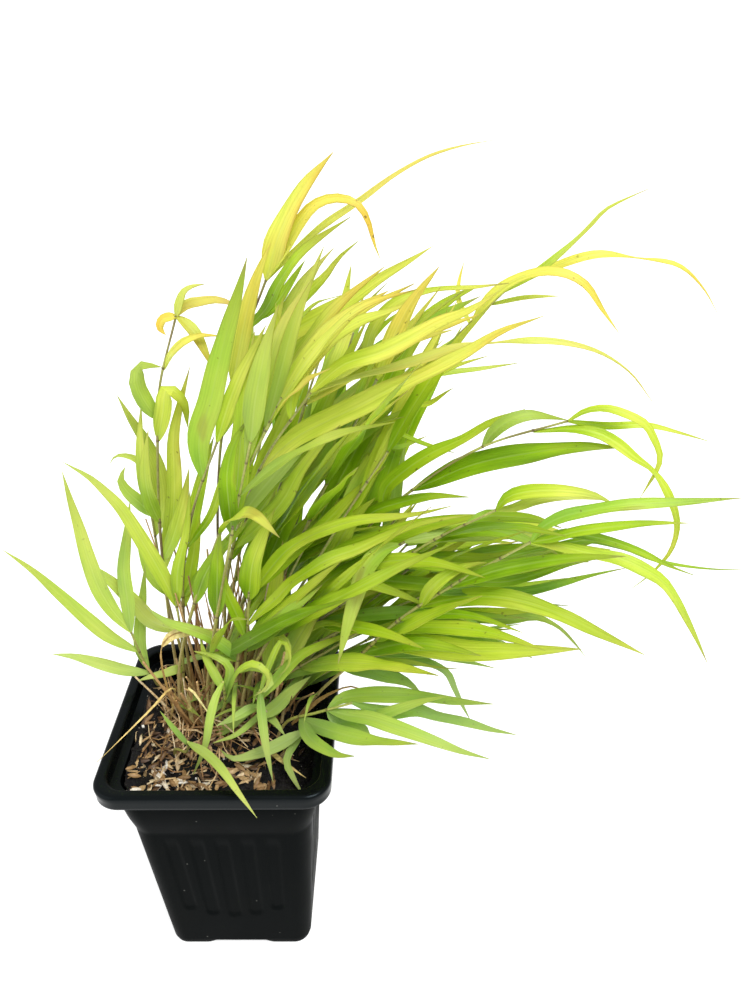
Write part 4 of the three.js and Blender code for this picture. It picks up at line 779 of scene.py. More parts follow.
def finish_piece(name, bm, materials, stands_for=None, sharp=50):
    """Makes the piece of a bmesh in millimetres: its object at the origin, riding on the body."""
    mesh = mesh_of(name, bm)
    mesh.shade_smooth()
    mesh.set_sharp_from_angle(angle=radians(sharp))
    for material in materials:
        mesh.materials.append(material)
    piece = new_object(name, mesh)
    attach(piece, BODY)
    if stands_for:
        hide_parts(stands_for)
    return piece


class Copies:
    """A small shape that is laid again and again into one mesh."""

    def __init__(self, shape):
        self.mesh = mesh_of("copied", shape, 1)

    def lay(self, bm, matrix):
        first = len(bm.verts)
        bm.from_mesh(self.mesh)
        bm.verts.ensure_lookup_table()
        vertices = bm.verts[first:]
        bmesh.ops.transform(bm, matrix=matrix, verts=vertices)
        return vertices


def standing_at(place, turns, size=1.0):
    """A matrix that scales a shape, turns it by degrees about x, y and z and moves it."""
    x, y, z = (radians(turn) for turn in turns)
    spin = Matrix.Rotation(z, 4, "Z") @ Matrix.Rotation(y, 4, "Y") @ Matrix.Rotation(x, 4, "X")
    return Matrix.Translation(Vector(place)) @ spin @ Matrix.Scale(size, 4)


# ---------------- making materials

class Shading:
    """The node tree of one material, which grows by a node a call."""

    def __init__(self, name):
        self.material = bpy.data.materials.new(name)
        self.material.use_nodes = True
        self.tree = self.material.node_tree
        self.tree.nodes.clear()

    def add(self, kind, inputs, take=0, **settings):
        """Adds a node with its settings and inputs, values or links, and gives the output to take."""
        made = self.tree.nodes.new("ShaderNode" + kind)
        for name, value in settings.items():
            setattr(made, name, value)
        for socket, value in inputs.items():
            if isinstance(value, bpy.types.NodeSocket):
                self.tree.links.new(value, made.inputs[socket])
            else:
                made.inputs[socket].default_value = value
        return made.outputs[take]

    def number(self, name):
        """A number that the vertices carry."""
        return self.add("Attribute", {}, "Fac", attribute_name=name)

    def place(self):
        return self.add("TexCoord", {}, "Object")

    def axis(self, place, name):
        return self.add("SeparateXYZ", {0: place}, name)

    def math(self, operation, a, b=0.0, c=0.0):
        return self.add("Math", {0: a, 1: b, 2: c}, operation=operation)

    def times(self, a, b):
        return self.math("MULTIPLY", a, b)

    def ranged(self, value, low, high, to_low=0.0, to_high=1.0):
        """A value carried smoothly from one range to another."""
        return self.add("MapRange", {
            "Value": value, "From Min": low, "From Max": high, "To Min": to_low, "To Max": to_high,
        }, interpolation_type="SMOOTHSTEP")

    def drawn_out(self, *scaled):
        """A place made of numbers, each times its own scale."""
        return self.add("CombineXYZ", {i: self.times(*pair) for i, pair in enumerate(scaled)})

    def noise(self, place, scale, detail, roughness=0.5):
        inputs = {"Vector": place, "Scale": scale, "Detail": detail, "Roughness": roughness}
        return self.add("TexNoise", inputs)

    def cells(self, place, scale):
        """The distance to the middle of the nearest cell."""
        return self.add("TexVoronoi", {"Vector": place, "Scale": scale}, "Distance")

    def ramp(self, share, stops):
        """The colour at a share of a row of stops, each a share and a hex code."""
        colour = self.add("ValToRGB", {0: share})
        elements = colour.node.color_ramp.elements
        while len(elements) < len(stops):
            elements.new(1)
        for element, (position, code) in zip(elements, stops):
            element.position = position
            element.color = linear(code)
        return colour

    def layered(self, colour, layers):
        """A colour under layers, each a share from 0 to 1, a hex code and the way it blends in."""
        for share, code, *how in layers:
            inputs = {0: share, 6: colour, 7: linear(code)}
            colour = self.add("Mix", inputs, 2, data_type="RGBA", blend_type=(how or ["MIX"])[0])
        return colour

    def bump(self, strength, depth, height):
        return self.add("Bump", {"Strength": strength, "Distance": depth, "Height": height}, "Normal")

    def surface(self, colour, roughness, more):
        return self.add("BsdfPrincipled", {"Base Color": colour, "Roughness": roughness, **more})

    def done(self, shader):
        """The material, once its shader is made."""
        output = self.tree.nodes.new("ShaderNodeOutputMaterial")
        self.tree.links.new(shader, output.inputs["Surface"])
        return self.material


# colours from green to gold, as light falls on a blade and as it shines through
LEAF_TOP = [
    (0.0, "7aa004"), (0.14, "98bf10"), (0.3, "c0d82e"), (0.45, "d6e24c"), (0.6, "eef26c"),
    (0.74, "f4ea6a"), (0.88, "ecd250"), (1.0, "dca834")]
LEAF_THROUGH = [
    (0.0, "a0ca04"), (0.25, "c0de0c"), (0.5, "dce824"), (0.75, "e8da34"), (1.0, "e2b42c")]
# from the ground up
CULM_COLOURS = [(0.0, "d6c094"), (0.12, "c9b57c"), (0.3, "b3ac5c"), (0.55, "a6ab50"), (1.0, "bcc466")]
RIB_SPACING = 1.2  # mm; the real ribs lie about 0.35 mm apart, which would not show


def living_leaf():
    """Grass leaf tissue, grown: satin and thin enough for light to shine through, with fine ribs
    along it, a paler midrib, browned edges, broad drifts between green and gold, and dull dust
    on the blades nearest the ground."""
    leaf = Shading("living_grass_leaf")
    times, ranged = leaf.times, leaf.ranged
    across, along, share, tone, seed, edge = (leaf.number(name) for name in LEAF_NUMBERS)
    at = leaf.place()
    # drifts of colour are 40 mm long and 10 mm wide
    drift = leaf.noise(leaf.drawn_out((across, 1 / 10), (along, 1 / 40), (seed, 61.0)), 1.0, 2.0)
    warmth = leaf.math("MULTIPLY_ADD", leaf.math("SUBTRACT", drift, 0.5), 0.7, tone)
    # one half of every blade is painted more golden and the other greener: partly painted fold shade on
    # the greener half, partly the gold of the sun; the tip turns gold before the base
    gold_and_fold_shade = leaf.math("MULTIPLY_ADD", across, 0.012, warmth)
    gold = leaf.math("ADD", gold_and_fold_shade, ranged(share, 0.0, 1.0, -0.07, 0.1))
    # streaks are 0.7 mm wide and 50 mm long
    streak = leaf.noise(leaf.drawn_out((across, 1 / 0.7), (along, 1 / 50), (seed, 97.0)), 1.0, 3.0)
    ribs = leaf.math("SINE", times(across, 2 * pi / RIB_SPACING))
    midrib = ranged(leaf.math("ABSOLUTE", across), 0.2, 0.5, 0.2, 0.0)
    # specks are under a millimetre across and lie some 8 mm apart
    speck = leaf.noise(at, 420.0, 1.0)
    colour = leaf.layered(leaf.ramp(gold, LEAF_TOP), [
        (ranged(streak, 0.4, 0.7, 0.0, 0.34), "a4b248", "MULTIPLY"),
        (ranged(ribs, -1.0, 1.0, 0.0, 0.1), "98ad44", "MULTIPLY"),
        (times(midrib, ranged(share, 0.3, 0.9, 1.0, 0.3)), "dfe894"),
        # every eighth blade is a cooler green, and every eighth has paled
        (ranged(seed, 0.87, 0.92, 0.0, 0.4), "8cc04e"),
        (ranged(seed, 0.1, 0.14, 0.4, 0.0), "c2ca76"),
        # olive-brown bruises, 12 mm long, on half of the blades
        (times(ranged(drift, 0.6, 0.72, 0.0, 0.5), ranged(seed, 0.5, 0.75)), "948a3c"),
        # the outer half of most blades ages to olive
        (times(ranged(share, 0.55, 0.98, 0.0, 0.5), ranged(tone, 0.4, 0.6, 1.0, 0.3)), "8e9030"),
        # edges brown towards the tip, and the last twentieth of every other blade dies back
        (times(ranged(edge, 0.7, 1.0, 0.0, 0.5), ranged(share, 0.2, 0.9, 0.35, 1.0)), "85802e"),
        (times(ranged(share, 0.9, 0.98), ranged(seed, 0.4, 0.8, 0.2, 0.9)), "9c9150"),
        (times(ranged(speck, 0.72, 0.77, 0.0, 0.8), ranged(seed, 0.2, 0.5)), "5e4a1c"),
        # dust thins out up to 60 mm above the rim
        (ranged(leaf.axis(at, "Z"), 0.13, 0.2, 0.5, 0.0), "a9c083"),
        # painted light: the blades on the left of the clump are painted paler, as lit more brightly
        (ranged(leaf.axis(at, "X"), -0.06, -0.01, 0.46, 0.0), "bccb80")])
    skin = leaf.surface(colour, 0.42, {"IOR": 1.42, "Normal": leaf.bump(0.3, 0.00012, ribs)})
    glow = leaf.add("BsdfTranslucent", {"Color": leaf.ramp(gold, LEAF_THROUGH)})
    return leaf.done(leaf.add("MixShader", {0: 0.38, 1: skin, 2: glow}))


def living_culm():
    """Grass culm, grown: a smooth thin cane, straw-coloured at the ground and yellow-green above,
    flushed purple-brown where the sun reaches it, with dark joints."""
    culm = Shading("living_grass_culm")
    times, ranged = culm.times, culm.ranged
    along, share, seed, sun, joint = (
        culm.number(name) for name in ("along", "share", "seed", "across", "tone"))
    # the flush changes every 25 mm along the culm
    flush = culm.noise(culm.drawn_out((along, 1 / 25), (seed, 37.0)), 1.0, 2.0)
    flushed = times(ranged(flush, 0.3, 0.62, 0.15, 1.0), sun)
    # fine grooves run along it, 0.3 mm apart
    grain = culm.noise(culm.place(), 900.0, 2.0)
    colour = culm.layered(culm.ramp(share, CULM_COLOURS), [
        (times(flushed, ranged(share, 0.04, 0.4, 0.2, 1.0)), "62433a"),
        (ranged(joint, 0.75, 1.0, 0.0, 0.75), "4a2f26"),
        (ranged(grain, 0.35, 0.7, 0.0, 0.3), "857052", "MULTIPLY")])
    return culm.done(culm.surface(colour, 0.38, {"IOR": 1.45}))


def dead_grass(name, ramp, roughness=0.62):
    """Dead grass, dried and weathered: dull straw colours that differ from piece to piece, with darker
    streaks along the fibre and patches of paler and darker straw."""
    straw = Shading(name)
    seed, along = straw.number("seed"), straw.number("along")
    # fibres are 0.4 mm wide, patches 6 mm long
    fibre = straw.noise(straw.place(), 700.0, 3.0)
    patch = straw.noise(straw.drawn_out((along, 1 / 6), (seed, 91.0)), 1.0, 2.0)
    hue = straw.math("MULTIPLY_ADD", straw.math("SUBTRACT", patch, 0.5), 0.5, seed)
    colour = straw.layered(straw.ramp(hue, ramp), [
        (straw.ranged(fibre, 0.35, 0.7, 0.4, 0.0), "86664a", "MULTIPLY")])
    bump = straw.bump(0.5, 0.0001, fibre)
    return straw.done(straw.surface(colour, roughness, {"IOR": 1.45, "Normal": bump}))


def moist_peat(colour):
    """Peat and composted bark, milled and moist: nearly black, rough, with brown fibres, and pale
    points that are painted highlights standing for glints of wet."""
    peat = Shading("moist_peat_and_bark")
    at = peat.place()
    # grains of 1 mm within clods of 6 mm
    grains = peat.noise(at, 950.0, 4.0, 0.7)
    clods = peat.noise(at, 160.0, 3.0)
    # painted highlights: pale points of 0.4 mm, for glints of wet, lie 4 mm apart; they are drawn 0.6
    # mm wide
    point = peat.cells(at, 300.0)
    colour = peat.layered(colour, [
        (peat.ranged(clods, 0.5, 0.75), "140d09"),
        (peat.ranged(grains, 0.68, 0.78), "3e2e24"),
        (peat.ranged(point, 0.06, 0.1, 0.8, 0.0), "aaa496")])
    wet = peat.ranged(grains, 0.3, 0.6, 0.45, 0.95)
    bump = peat.bump(0.9, 0.0008, peat.math("ADD", grains, clods))
    return peat.done(peat.surface(colour, wet, {"IOR": 1.4, "Normal": bump}))


def black_polypropylene(colour):
    """Black polypropylene, injection moulded in a lightly grained tool: a soft sheen on the rim and the
    flutes, tinted blue-grey as a painted reflection of sky, with dust that has settled and a few pale
    specks."""
    plastic = Shading("black_polypropylene_moulded")
    ranged = plastic.ranged
    at = plastic.place()
    # grain of 0.5 mm, drifts of dust of 25 mm
    grain = plastic.noise(at, 1900.0, 2.0)
    dust = plastic.noise(at, 42.0, 5.0)
    # specks of 0.4 mm lie far apart; they are drawn 0.8 mm wide
    speck = plastic.cells(at, 90.0)
    colour = plastic.layered(colour, [
        (ranged(dust, 0.45, 0.75, 0.0, 0.06), "2c2b27"),
        (ranged(speck, 0.03, 0.05, 0.24, 0.0), "8f9088")])
    # hands have rubbed the rim smooth
    height = plastic.axis(at, "Z")
    gloss = plastic.times(
        ranged(dust, 0.3, 0.75, 0.36, 0.5), ranged(height, 0.127, 0.13, 1.0, 0.6))
    # painted reflection: the reflections are tinted blue-grey, as of a sky
    return plastic.done(plastic.surface(colour, gloss, {
        "IOR": 1.49, "Specular IOR Level": ranged(height, 0.127, 0.13, 0.015, 0.13),
        "Specular Tint": linear("c8dde6"), "Normal": plastic.bump(0.25, 0.00006, grain)}))


def expanded_perlite():
    """Perlite, popped by heat: chalk-white grains with a pitted, matt skin, and painted shade in the
    pits.
    """
    perlite = Shading("expanded_perlite")
    pits = perlite.cells(perlite.place(), 1600.0)
    # painted shade: the pits are painted darker
    colour = perlite.layered(linear("e9e6de"), [
        (perlite.ranged(pits, 0.1, 0.5, 0.6, 0.0), "9c968a")])
    return perlite.done(perlite.surface(colour, 0.9, {"Normal": perlite.bump(0.8, 0.0002, pits)}))


def pale_paper():
    """Seamless paper, coated white, on a light table: even and matt, with only faint shadows."""
    paper = Shading("white_seamless_paper")
    fibre = paper.noise(paper.place(), 300.0, 2.0)
    colour = paper.layered(linear("cbcbca"), [(paper.ranged(fibre, 0.3, 0.7), "c6c6c5")])
    return paper.done(paper.surface(colour, 0.9, {
        "Emission Color": linear("ffffff"), "Emission Strength": 0.6}))


# ---------------- pot

SIDE_STEPS = 84
CORNER_STEPS = 14


def rounded_square(half, radius):
    """A closed ring of [x, y] and, for each, how far along its side of the square it lies."""
    ring = []
    for quarter in range(4):
        turn = quarter * pi / 2
        x_way = np.array((cos(turn), sin(turn)))
        y_way = np.array((-x_way[1], x_way[0]))
        for step in range(SIDE_STEPS):
            along = (half - radius) * (2 * step / SIDE_STEPS - 1)
            ring.append((*(x_way * half + y_way * along), along))
        middle = (x_way + y_way) * (half - radius)
        for step in range(CORNER_STEPS):
            angle = turn + step / CORNER_STEPS * pi / 2
            place = middle + radius * np.array((cos(angle), sin(angle)))
            ring.append((*place, half - radius))
    return np.array(ring + ring[:1])


def wall_half(z):
    """Half width of the pot's outer wall at a height."""
    return float(np.interp(z, [row[1] for row in WALL_PROFILE], [row[0] for row in WALL_PROFILE]))


def flute_depth(along, z, depth):
    """How deep the wall is pressed in at a place on one side: a slot with a round lower end."""
    spread = wall_half(z) / wall_half(FLUTE_TOP_Z)
    nearest = np.round(along / (FLUTE_SPACING * spread)).clip(-FLUTES_EACH_WAY, FLUTES_EACH_WAY)
    off = along - nearest * FLUTE_SPACING * spread
    half = FLUTE_WIDTH / 2
    below = np.maximum(FLUTE_END_Z + FLUTE_END_RISE * nearest ** 2 + half - z, 0)
    share = np.clip((half - np.hypot(off, below)) / np.where(off < 0, *FLUTE_FLANKS), 0, 1)
    return depth * eased(FLUTE_TOP_Z - z, 0, FLUTE_FADE) * share * share * (3 - 2 * share)


def arch_height(along):
    """Height of the pot's lower edge: feet at the corners, with an arch between them."""
    share = np.clip((ARCH_HALF - np.abs(along)) / (ARCH_HALF - ARCH_FLAT_HALF), 0, 1)
    return (FLOOR_Z - 0.1) * share * share * (3 - 2 * share)


def pot_ring(half, z, radius, depth=0.0):
    """One ring of the pot. Below the floor it rises over the arches; depth presses flutes in."""
    ring = rounded_square(half, radius)
    places = np.column_stack((ring[:, :2], np.full(len(ring), z)))
    if z < FLOOR_Z:
        arch = arch_height(ring[:, 2])
        places[:, 2] = arch + z * (1 - arch / FLOOR_Z)
    if depth:
        pressed = flute_depth(ring[:, 2], z, depth)
        inward = -np.sign(places[:, :2]) * (np.abs(np.abs(places[:, :2]) - half) < 1e-6)
        places[:, :2] += inward * pressed[:, None]
    return places


def fillet(half, z, radius, start, end, size=1.0, steps=4):
    """Ring rows round a moulded edge: half and z are the middle of its arc, angles in degrees."""
    rows = []
    for step in range(steps + 1):
        angle = radians(mix(start, end, step / steps))
        rows.append((half + size * cos(angle), z + size * sin(angle), radius))
    return rows


def underside_rows():
    """From the middle of the pot's underside out and down round the feet."""
    reach = WALL_PROFILE[0][0] - WALL - 0.8
    rows = [(share * reach, FLOOR_Z, 6 * share) for share in (0, 0.2, 0.5, 0.8, 1)]
    rows += [(reach + 0.7, z, 6) for z in (3.2, 1.6, 0.5)]
    return rows + fillet(WALL_PROFILE[0][0] - 0.75, 0.7, 6.6, 180, 360, 0.7)


def wall_rows():
    """Up the outer face of the wall: straight over the flutes, then flared in a soft step."""
    low, high = np.array(WALL_PROFILE[2]), np.array(WALL_PROFILE[3])
    rows = [WALL_PROFILE[1], *(tuple(mix(low, high, share)) for share in even_shares(64))]
    flare = chain_through(WALL_PROFILE[3:])
    return rows + [tuple(place) for place, _ in stations_on(flare, even_shares(20))][1:]


def lip_rows():
    """Under the lip, down and round its skirt, over the rim and in to the ledge."""
    ledge_half, ledge_z, _ = WALL_PROFILE[-1]
    inner = RIM_HALF - LIP_TOP_WIDTH
    skirt_z = POT_HEIGHT - LIP_DROP
    skirt_in = RIM_HALF - LIP_SKIRT
    rows = [(inner + WALL, ledge_z + 1.0, 12.5), (inner + WALL, POT_HEIGHT - LIP_SKIRT - 0.6, 12.5)]
    rows += [(skirt_in - 0.5, POT_HEIGHT - LIP_SKIRT - 0.4, 12.5), (skirt_in, POT_HEIGHT - 3, 12.5)]
    rows += [(skirt_in, skirt_z + 0.7, 12.5)]
    rows += fillet(RIM_HALF - LIP_SKIRT / 2 - 0.2, skirt_z + 0.5, 13, 180, 360, 0.5)
    rows += [(RIM_HALF - 0.35, skirt_z + 1.5, 13.4), (RIM_HALF - 0.1, POT_HEIGHT - 4, 13.5)]
    rows += fillet(RIM_HALF - 1.8, POT_HEIGHT - 1.8, 13, 0, 90, 1.8, 6)
    rows += [(RIM_HALF - 3, POT_HEIGHT, 12), (inner + 2, POT_HEIGHT - 0.1, 11)]
    rows += fillet(inner + 1.2, POT_HEIGHT - 1.3, 10.8, 90, 180, 1.2, 5)
    rows += [(inner, ledge_z + 3.5, 10.6), (inner, ledge_z + 1.6, 10.5)]
    rows += [(inner - 0.3, ledge_z + 0.8, 10.5), (inner - 1.0, ledge_z + 0.4, 10.4)]
    return rows + fillet(ledge_half - WALL - 0.9, ledge_z - 0.6, 10.5, 80, 0, 0.9)


def inside_rows():
    """Down the wall's inner face and in over the floor."""
    floor_top = FLOOR_Z + FLOOR_THICK
    half = WALL_PROFILE[2][0] - WALL
    down = [(row[0] - WALL, row[1], row[2] - WALL) for row in WALL_PROFILE[:2:-1]]
    flare = chain_through(down)
    rows = [tuple(place) for place, _ in stations_on(flare, even_shares(16))][1:]
    low, high = np.array((half + 0.2, floor_top + 2, 7)), np.array(down[-1])
    rows += [tuple(mix(high, low, share)) for share in even_shares(10)][1:]
    rows += [(half - 0.5, floor_top + 0.6, 6.6), (half - 1.6, floor_top, 6)]
    return rows + [(share * (half - 1.6), floor_top, 6 * share) for share in (0.8, 0.5, 0.2, 0)]


class FOREST_OT_pot(bpy.types.Operator):
    """Mould the square pot: fluted walls, arched feet, a rolled lip and four drain holes"""
    bl_idname = "forest_grass.pot"
    bl_label = "Square Pot"

    def execute(self, context):
        settings = context.scene.forest_pot
        bm = new_mesh()
        depth = settings.flute_depth / MM
        rings = [pot_ring(*row) for row in underside_rows()]
        rings += [pot_ring(*row, depth) for row in wall_rows()]
        rings += [pot_ring(*row) for row in lip_rows() + inside_rows()]
        closed(bm, sheet_of(bm, np.array(rings)))
        piece = finish_piece(
            "square_pot", bm, [black_polypropylene(settings.plastic)], "pot", 35)
        self.cut_drains(context, piece)
        self.add_pad(piece)
        return {"FINISHED"}

    def add_pad(self, piece):
        bm = bmesh.new()
        bm.from_mesh(piece.data)
        height = FLOOR_Z + 0.8
        box = Matrix.Diagonal((2 * PAD_HALF, 2 * PAD_HALF, height, 1))
        bmesh.ops.create_cube(
            bm, size=1, matrix=Matrix.Scale(MM, 4) @ Matrix.Translation((0, 0, height / 2)) @ box)
        bm.to_mesh(piece.data)
        bm.free()

    def cut_drains(self, context, piece):
        bm = bmesh.new()
        for turn in range(4):
            angle = turn * pi / 2
            place = Vector((cos(angle), sin(angle), 0)) * DRAIN_OUT
            place.z = FLOOR_Z + 1
            bmesh.ops.create_cone(
                bm, cap_ends=True, segments=32, radius1=DRAIN_RADIUS, radius2=DRAIN_RADIUS,
                depth=9, matrix=Matrix.Translation(place))
        drains = new_object("drains", mesh_of("drains", bm))
        cut = piece.modifiers.new("Drains", "BOOLEAN")
        cut.operation = "DIFFERENCE"
        cut.object = drains
        apply_modifiers(context, piece)
        bpy.data.objects.remove(drains)


def apply_modifiers(context, piece):
    """Makes a piece's modifiers part of its mesh."""
    graph = context.evaluated_depsgraph_get()
    shaped = bpy.data.meshes.new_from_object(piece.evaluated_get(graph))
    piece.modifiers.clear()
    piece.data = shaped


# ---------------- potting mix

def soil_height(x, y):
    """The frame's own surface: level at the crown, lower and uneven towards the walls."""
    away = hypot((x - CROWN_X) / (CROWN_RX + 9), (y - CROWN_Y) / (CROWN_RY + 9))
    if away <= 1:
        return SOIL_TOP
    fall = min(1, (away - 1) / 1.1)
    bumps = 0.9 * sin(x * 0.31 + 1.3) * cos(y * 0.37) + 0.6 * sin(x * 0.73 - y * 0.52)
    return SOIL_TOP - (SOIL_TOP - SOIL_EDGE) * fall + (bumps - 1.5) * min(1, (away - 1) * 4)


def mix_height(x, y):
    """The surface with its clods of 6 mm and crumbs of 2 mm, banked up against the left wall."""
    clods = noise(Vector((x / 6, y / 6, 0.4)))
    crumbs = noise(Vector((x / 1.9, y / 1.9, 7.2)))
    bank = 20 * eased(-x, 29, 45) * (1 - 0.5 * eased(y, 32, 46))
    return soil_height(x, y) + bank + 1.7 * clods + 0.8 * crumbs - 0.2


def in_pot(u, v, reach, radius):
    """A place of the square from -1 to 1 carried into the pot's rounded square."""
    out = max(abs(u), abs(v))
    if out == 0:
        return 0.0, 0.0
    corner = max(min(abs(u), abs(v)) / out * reach - (reach - radius), 0) / radius
    pull = 1 - (1 - 1 / sqrt(2)) * radius / reach * corner ** 2 * out ** 3
    return u * reach * pull, v * reach * pull


SURFACE_STEPS = 118


def lay_surface(bm):
    reach = wall_half(SOIL_EDGE - 3) - WALL - SOIL_GAP
    grid = bmesh.ops.create_grid(bm, x_segments=SURFACE_STEPS, y_segments=SURFACE_STEPS, size=1.0)
    for corner in grid["verts"]:
        x, y = in_pot(corner.co.x, corner.co.y, reach, 10)
        corner.co = (x, y, mix_height(x, y))
    # the sides go down with the wall, and round in to the floor
    floor_top = FLOOR_Z + FLOOR_THICK
    last_half = reach
    for z, inset in ((98, 0), (50, 0), (floor_top + 3, 0), (floor_top + SOIL_GAP, 2)):
        rim = [edge for edge in bm.edges if edge.is_boundary]
        lower = bmesh.ops.extrude_edge_only(bm, edges=rim)["geom"]
        half = wall_half(z) - WALL - SOIL_GAP - inset
        for corner in (part for part in lower if isinstance(part, bmesh.types.BMVert)):
            corner.co *= half / last_half
            corner.co.z = z
        last_half = half
    rim = [edge for edge in bm.edges if edge.is_boundary]
    bmesh.ops.holes_fill(bm, edges=rim, sides=len(rim))
    bmesh.ops.recalc_face_normals(bm, faces=bm.faces)


def crumb_shape(seed, faces=1):
    """A broken crumb: an icosphere pushed about."""
    bm = bmesh.new()
    bmesh.ops.create_icosphere(bm, subdivisions=faces, radius=1.0)
    for corner in bm.verts:
        corner.co *= 1 + 0.45 * noise(corner.co * 1.3 + Vector((seed, 0, 0)))
    return Copies(bm)


def scatter_crumbs(bm, count):
    shapes = [crumb_shape(7.7 * i) for i in range(6)]
    random = chance(21)
    reach = wall_half(SOIL_EDGE) - WALL - 1.2
    for i in range(count):
        x, y = in_pot(random(-1, 1), random(-1, 1), reach, 9)
        size = 0.35 + 1.3 * random() ** 3
        flat = random(0.45, 1)
        long = random(1, 2.4 if i % 4 else 4)
        turns = (random(-30, 30), random(-30, 30), random(0, 360))
        matrix = standing_at((x, y, mix_height(x, y) + 0.25 * size), turns, size)
        shapes[i % 6].lay(bm, matrix @ Matrix.Diagonal((long, 1, flat, 1)))


# grains of perlite: across and down on the sighting grid, and radius in mm
PERLITE = [
    (149, 755, 0.8), (243, 742, 0.7), (302, 752, 0.6), (196, 778, 0.6), (316, 752, 0.5),
    (224, 762, 0.6), (292, 768, 0.6), (310, 741, 0.5), (164, 790, 0.6), (228, 790, 0.5),
]


def mix_piece(name, material, numbers, lay, *details):
    """Makes a piece of the potting mix from what lay puts into an empty mesh."""
    bm = new_mesh(*numbers)
    lay(bm, *details)
    finish_piece(name, bm, [material])


def lay_perlite(bm):
    shape = crumb_shape(3.1, 3)
    for i, (across, down, radius) in enumerate(PERLITE):
        x, y, _ = lying_at(across, down, SOIL_EDGE + 1)
        place = (x, y, mix_height(x, y) + radius * 0.6)
        shape.lay(bm, standing_at(place, (40 * i, 25 * i, 70 * i), radius))


class FOREST_OT_mix(bpy.types.Operator):
    """Fill the pot with moist potting mix: its lumpy surface, loose crumbs and perlite"""
    bl_idname = "forest_grass.mix"
    bl_label = "Potting Mix"

    def execute(self, context):
        settings = context.scene.forest_mix
        peat = moist_peat(settings.peat)
        surface = new_mesh()
        lay_surface(surface)
        finish_piece("potting_mix", surface, [peat], "soil", 70)
        mix_piece("peat_crumbs", peat, (), scatter_crumbs, settings.crumbs)
        mix_piece("perlite_grains", expanded_perlite(), (), lay_perlite)
        return {"FINISHED"}


# ---------------- hulls, straws and dry growth

STRAW_NUMBERS = ("seed", "along")


def hull_shape(open_shell):
    """A rice hull: a boat pointed at both ends, whole or as one half shell."""
    bm = new_mesh(*STRAW_NUMBERS)
    shares = (0, 0.08, 0.25, 0.5, 0.75, 0.93, 1)
    half_width, half_thick = HULL_WIDTH / 2, HULL_THICK / 2
    turns = np.linspace(0, pi, 5) if open_shell else np.linspace(0, 2 * pi, 7)
    rings = []
    for share in shares:
        full = sin(pi * share) ** 0.7 + (0.02 if open_shell else 0)
        x = (share - 0.5) * HULL_LENGTH
        droop = 0.35 * cos(pi * (share - 0.5))
        rings.append([
            (x, half_width * full * cos(turn), half_thick * full * sin(turn) + droop)
            for turn in turns])
    corners = sheet_of(bm, np.array(rings))
    if open_shell:
        bmesh.ops.solidify(bm, geom=bm.faces[:], thickness=0.22)
    else:
        closed(bm, corners)
    bmesh.ops.recalc_face_normals(bm, faces=bm.faces)
    return Copies(bm)


def frame_hulls():
    """The hulls that the frame has, each a place, its turns and its stretch."""
    span = wall_half(SOIL_EDGE) - WALL - SOIL_GAP - HULL_LENGTH / 2 - 0.6
    random = chance(11)
    made = []
    while len(made) < HULL_COUNT:
        x, y = random(-span, span), random(-span, span)
        in_crown = hypot((x - CROWN_X) / (CROWN_RX + 6), (y - CROWN_Y) / (CROWN_RY + 6)) < 1
        bare = x > 18 and random() < 0.8
        turns = (random(-20, 20), random(-16, 16), random(0, 360))
        if not in_crown and not bare:
            made.append(((x, y, mix_height(x, y) + 0.5), turns, (1, 1, 1), random()))
    return made


# loose litter by where it shows on the sighting grid: across, down, its spread both ways, how
# many hulls, how many broken pieces of stem, and how pale it is
LITTER = [
    (180, 724, 16, 20, 10, 60, 0.3), (164, 772, 13, 9, 22, 10, 0.66), (187, 790, 20, 5, 34, 6, 0.64),
    (247, 773, 14, 8, 20, 10, 0.5), (212, 782, 10, 6, 8, 5, 0.5), (134, 786, 5, 6, 6, 2, 0.66),
    (222, 752, 13, 12, 5, 14, 0.4), (206, 712, 18, 14, 6, 50, 0.44), (285, 766, 22, 13, 4, 7, 0.3),
    (156, 738, 10, 24, 4, 26, 0.24), (240, 728, 30, 16, 6, 30, 0.4), (145, 704, 10, 18, 0, 40, 0.16),
    (186, 752, 14, 8, 14, 14, 0.5), (142, 752, 10, 9, 10, 8, 0.5), (150, 789, 8, 5, 8, 3, 0.7),
    (134, 770, 6, 7, 5, 5, 0.4), (152, 714, 9, 9, 4, 16, 0.2), (262, 790, 12, 5, 8, 4, 0.5),
]


def loose_litter():
    """Hulls and broken pieces of stem, heap by heap."""
    random = chance(12)
    reach = wall_half(SOIL_EDGE) - WALL - 0.6
    made = []
    for across, down, wide, high, hulls, pieces, pale in LITTER:
        for i in range(hulls + pieces):
            angle = random(0, 2 * pi)
            out = 1.1 * sqrt(-log(1 - 0.93 * random()))
            mark_at = (across + wide * out * cos(angle), down + high * out * sin(angle))
            turns = (random(-42, 42), random(-28, 28), random(0, 360))
            stretch = (random(0.7, 1.02),) * 3
            if i >= hulls:
                stretch = [random(*span) for span in ((0.6, 1.7), (0.3, 0.7), (0.4, 0.8))]
            colour = min(max(pale + random(-0.4, 0.4), 0), 1)
            x, y, _ = lying_at(*mark_at, SOIL_EDGE + 3)
            x, y, _ = lying_at(*mark_at, mix_height(x, y))
            yaw, half = radians(turns[2]), stretch[0] * HULL_LENGTH / 2
            beyond = max(abs(x) + half * abs(cos(yaw)), abs(y) + half * abs(sin(yaw)))
            if beyond < reach:
                lift = random(0.2, 2.6)
                made.append(((x, y, mix_height(x, y) + lift), turns, stretch, colour))
    return made


